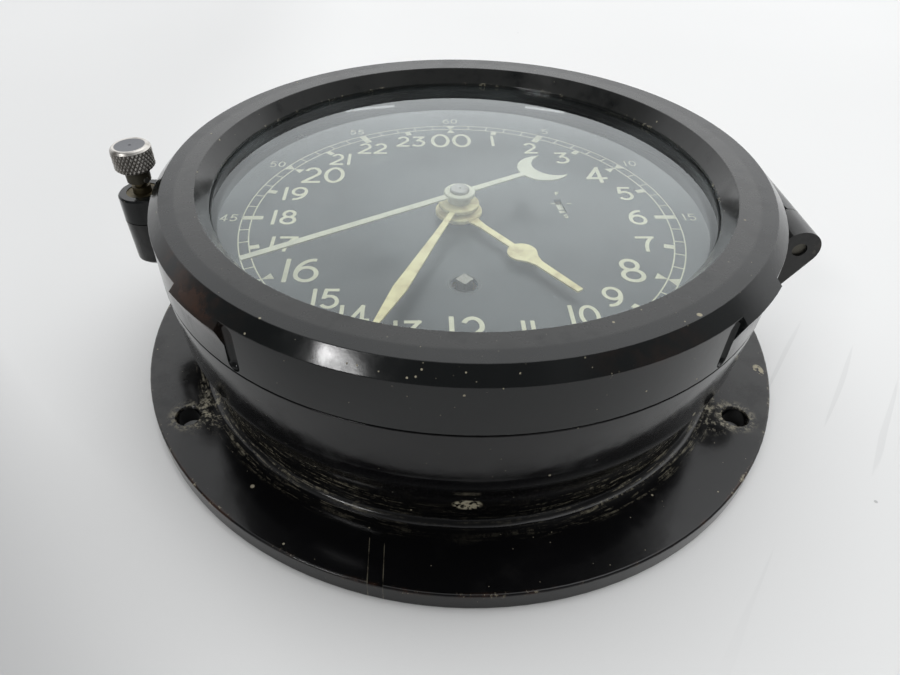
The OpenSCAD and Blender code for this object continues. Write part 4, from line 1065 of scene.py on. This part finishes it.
# %% [markdown]
# ## The minute track
# Two thin circles joined by a line for each minute. Every ten minutes has an hourglass, the
# quarter hours and the other fives have bars, and odd hours have a small block inside the
# track. A band of minute numbers runs outside it.

# %% Minute track and minute numbers
track_out = 0.06505
track_in = 0.06207
track_line = 0.00037
wedge_end = 0.0590
quarter_end = 0.0588
bar_end = 0.0592
minute_number_radius = 0.0692


def radial(marks, clock_angle, inner, outer, width):
    """A bar between two radii."""
    marks.strip(np.stack([on_dial(inner, clock_angle), on_dial(outer, clock_angle)]), width)


def wedge(marks, clock_angle, tip, base, half_width):
    """A triangle with its tip at one radius and its base at another."""
    across = on_dial(1, clock_angle + 90)
    corners = [
        on_dial(tip, clock_angle),
        on_dial(base, clock_angle) + across * half_width,
        on_dial(base, clock_angle) - across * half_width,
    ]
    marks.plate(np.array(corners if base < tip else corners[::-1]))


track = Marks()
for radius in (track_out, track_in):
    track.strip(bow(0, 0, radius, radius, 0, 360, 361)[:-1], track_line, closed=True)
for minute in range(60):
    angle = 6 * minute
    if minute % 10 == 0:
        wedge(track, angle, track_in, track_out, 0.00185)
        wedge(track, angle, track_in, wedge_end, 0.00140)
    elif minute in (15, 45):
        radial(track, angle, quarter_end, track_out, 0.0019)
    elif minute % 5 == 0:
        radial(track, angle, bar_end, track_out, 0.0023)
    else:
        radial(track, angle, track_in, track_out, track_line)
for hour in range(1, 24, 2):
    radial(track, 15 * hour, bar_end, track_in, 0.0019)
track.piece("minute_track", number_cream)

minutes = Marks()
for minute in range(5, 65, 5):
    place = on_dial(minute_number_radius, 6 * minute)
    write(minutes, str(minute), place, 0.0038, 0.00044, 0.0006)
minutes.piece("minute_numbers", number_cream)

# %% [markdown]
# ## Marks of the regulator
# At the ends of the slot stand an F and an S, for faster and slower, and a short line on each
# side of its middle. They are written like the numbers.

# %% Regulator marks
middle_line = 0.0003
regulator_marks = Marks()
write(regulator_marks, "F", (0.0318, 0.0142), 0.0019, 0.00034, 0)
write(regulator_marks, "S", (0.0324, 0.0006), 0.0020, 0.00036, 0)
regulator_marks.strip(line((0.0289, 0.0080), (0.0302, 0.0080)), middle_line)
regulator_marks.strip(line((0.0339, 0.0081), (0.0353, 0.0081)), middle_line)
regulator_marks.piece("regulator_marks", number_cream)

# %% [markdown]
# ## Scale of the regulator
# What shows in the slot is a small pale plate with fine lines on the end of the regulator's
# arm. It lies under the dial and slides along the slot when the regulator is moved.

# %% Regulator's scale
scale_place = (0.0316, 0.0066, 0.04278)
scale_size = (0.0050, 0.0030, 0.00024)
scale_turn = 95.4


def block(name, centre, size, turn, material):
    """A box of the given size round centre, turned about the vertical by turn degrees."""
    corners = np.array([
        [x, y, z] for x in (-0.5, 0.5) for y in (-0.5, 0.5) for z in (-0.5, 0.5)
    ]) * size
    angle = math.radians(turn)
    turned = corners.copy()
    turned[:, 0] = corners[:, 0] * math.cos(angle) - corners[:, 1] * math.sin(angle)
    turned[:, 1] = corners[:, 0] * math.sin(angle) + corners[:, 1] * math.cos(angle)
    faces = [(0, 1, 3, 2), (4, 6, 7, 5), (0, 4, 5, 1), (2, 3, 7, 6), (0, 2, 6, 4), (1, 5, 7, 3)]
    mesh = bpy.data.meshes.new(name)
    mesh.from_pydata((turned + centre).tolist(), [], faces)
    mesh.materials.append(material)
    made = bpy.data.objects.new(name, mesh)
    bpy.context.scene.collection.objects.link(made)
    return made


scale = block("regulator_scale", scale_place, scale_size, scale_turn, index_cream)
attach(scale, "regulator_arm")
print("scale", len(scale.data.polygons), "faces")

# %% [markdown]
# ## The knurled knob
# A knurl is pressed by two wheels with slanted teeth, which leave rows of small pyramids.
# It could be a bump in the material, but its outline shows against the table, so it is real
# relief: the radius dips where either of two slanted zigzag waves is low.

# %% Knurled knob
knob_axis = (-0.0928, 0.0)
knob_low = 0.0606
knob_top = 0.0676
knob_radius = 0.0057
knurl_depth = 0.00040
knurl_teeth = 30
knurl_slant = 0.65


def triangle(value):
    """A wave that goes straight from 0 up to 1 and back to 0 as value goes 0, 0.5, 1."""
    return 1 - np.abs(2 * (value % 1) - 1)


def knob_profile():
    """Rows of height, radius and 1 where the knurl is cut: the neck, the cut grip, the rounded
    shoulder and the shallow dish of the top."""
    neck = [
        (knob_low - 0.00382, 0.0001, 0), (knob_low - 0.0038, 0.00335, 0),
        (knob_low - 0.0008, 0.00345, 0), (knob_low - 0.0001, 0.00400, 0),
        (knob_low, 0.0043, 0), (knob_low + 0.00002, 0.0049, 0),
    ]
    grip_heights = np.linspace(knob_low + 0.0007, knob_top - 0.0011, 48)
    grip = [(height, knob_radius, 1) for height in grip_heights]
    shoulder = [
        (knob_top - 0.00085, knob_radius - 0.00012, 0),
        (knob_top - 0.0003, knob_radius - 0.00055, 0),
        (knob_top - 0.00005, knob_radius - 0.00085, 0), (knob_top, knob_radius - 0.00105, 0),
    ]
    dish = [
        (knob_top - 0.0001, knob_radius - 0.0015, 0), (knob_top - 0.00015, 0.0005, 0),
        (knob_top - 0.0003, 0.0003, 0), (knob_top - 0.0003, 0.0001, 0),
    ]
    return np.array(neck + grip + shoulder + dish)


def knurled_knob(columns=450):
    """Radius = outer radius minus depth times (1 minus the lower of two slanted waves), on a
    grid of turns and heights."""
    profile = knob_profile()
    z, radius, wave = (column[:, None] for column in profile.T)
    turn = np.linspace(0, 1, columns, endpoint=False)[None, :]
    lean = (z - knob_low) / (2 * math.pi * knob_radius) * knurl_teeth * knurl_slant
    left = triangle(turn * knurl_teeth + lean)
    right = triangle(turn * knurl_teeth - lean)
    spread = radius - wave * knurl_depth * (1 - np.minimum(left, right))
    angle = turn * 2 * math.pi
    x = knob_axis[0] + spread * np.cos(angle)
    y = knob_axis[1] + spread * np.sin(angle)
    points = np.stack([x, y, np.broadcast_to(z, x.shape)], axis=2).reshape(-1, 3)
    row = np.arange(len(profile) - 1)[:, None] * columns
    column = np.arange(columns)[None, :]
    after = (column + 1) % columns
    quads = np.stack([
        row + column, row + after, row + columns + after, row + columns + column
    ], axis=2).reshape(-1, 4).tolist()
    last = (len(profile) - 1) * columns
    caps = [list(range(columns))[::-1], list(range(last, last + columns))]
    mesh = bpy.data.meshes.new("knurled_knob")
    mesh.from_pydata(points.tolist(), [], quads + caps)
    return mesh


knob = bpy.data.objects.new("knurled_knob", knurled_knob())
bpy.context.scene.collection.objects.link(knob)
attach(knob, "latch_screw")
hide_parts("thumb_knob")
print("knob", len(knob.data.polygons), "faces")

# %% [markdown]
# ## Finish of the knob
# The knob's plating is bright on the tips of the knurl and on the rim, dark with old dirt
# between them, and dull on the neck. Its top is a smooth disc that looks nearly black. The
# parts could be separate materials, but soft masks let the dirt fade out as it really does.

# %% Knob's finish
disc_radius = 0.0042


def knob_finish():
    """Metal whose colour depends on the distance to the knob's axis and on the height."""
    paint = Finish("knurled_steel")
    x, y, z = paint.place().split()
    off = x - knob_axis[0]
    radius = (off * off + y * y) ** 0.5
    fine = paint.noise(0.0004, 3)
    cloud = paint.noise(0.003, 4)
    groove = radius.below(knob_radius - 0.0004, knob_radius - 0.00014)
    groove = groove * z.above(knob_low + 0.0002, knob_low + 0.0006)
    groove = groove * z.below(knob_top - 0.0012, knob_top - 0.0009)
    neck = z.below(knob_low - 0.0003, knob_low)
    disc = z.above(knob_top - 0.0006, knob_top - 0.0004)
    disc = disc * radius.below(disc_radius - 0.0001, disc_radius + 0.0001)
    bright = paint.tint(cloud.above(0.45, 0.75) * 0.6, (0.50, 0.48, 0.45, 1), (0.12, 0.10, 0.08, 1))
    grooved = paint.tint(groove * 0.8, bright, (0.045, 0.036, 0.028, 1))
    necked = paint.tint(neck, grooved, (0.050, 0.044, 0.028, 1))
    capped = paint.tint(disc, necked, (0.070, 0.074, 0.085, 1))
    rough = fine * 0.2 + 0.26 + neck * 0.2
    shine = (1 - disc) * (1 - neck * 0.6)
    return paint.finish(paint.shade(Base_Color=capped, Metallic=shine, Roughness=rough))


knob.data.materials.append(knob_finish())
print("knob dressed")
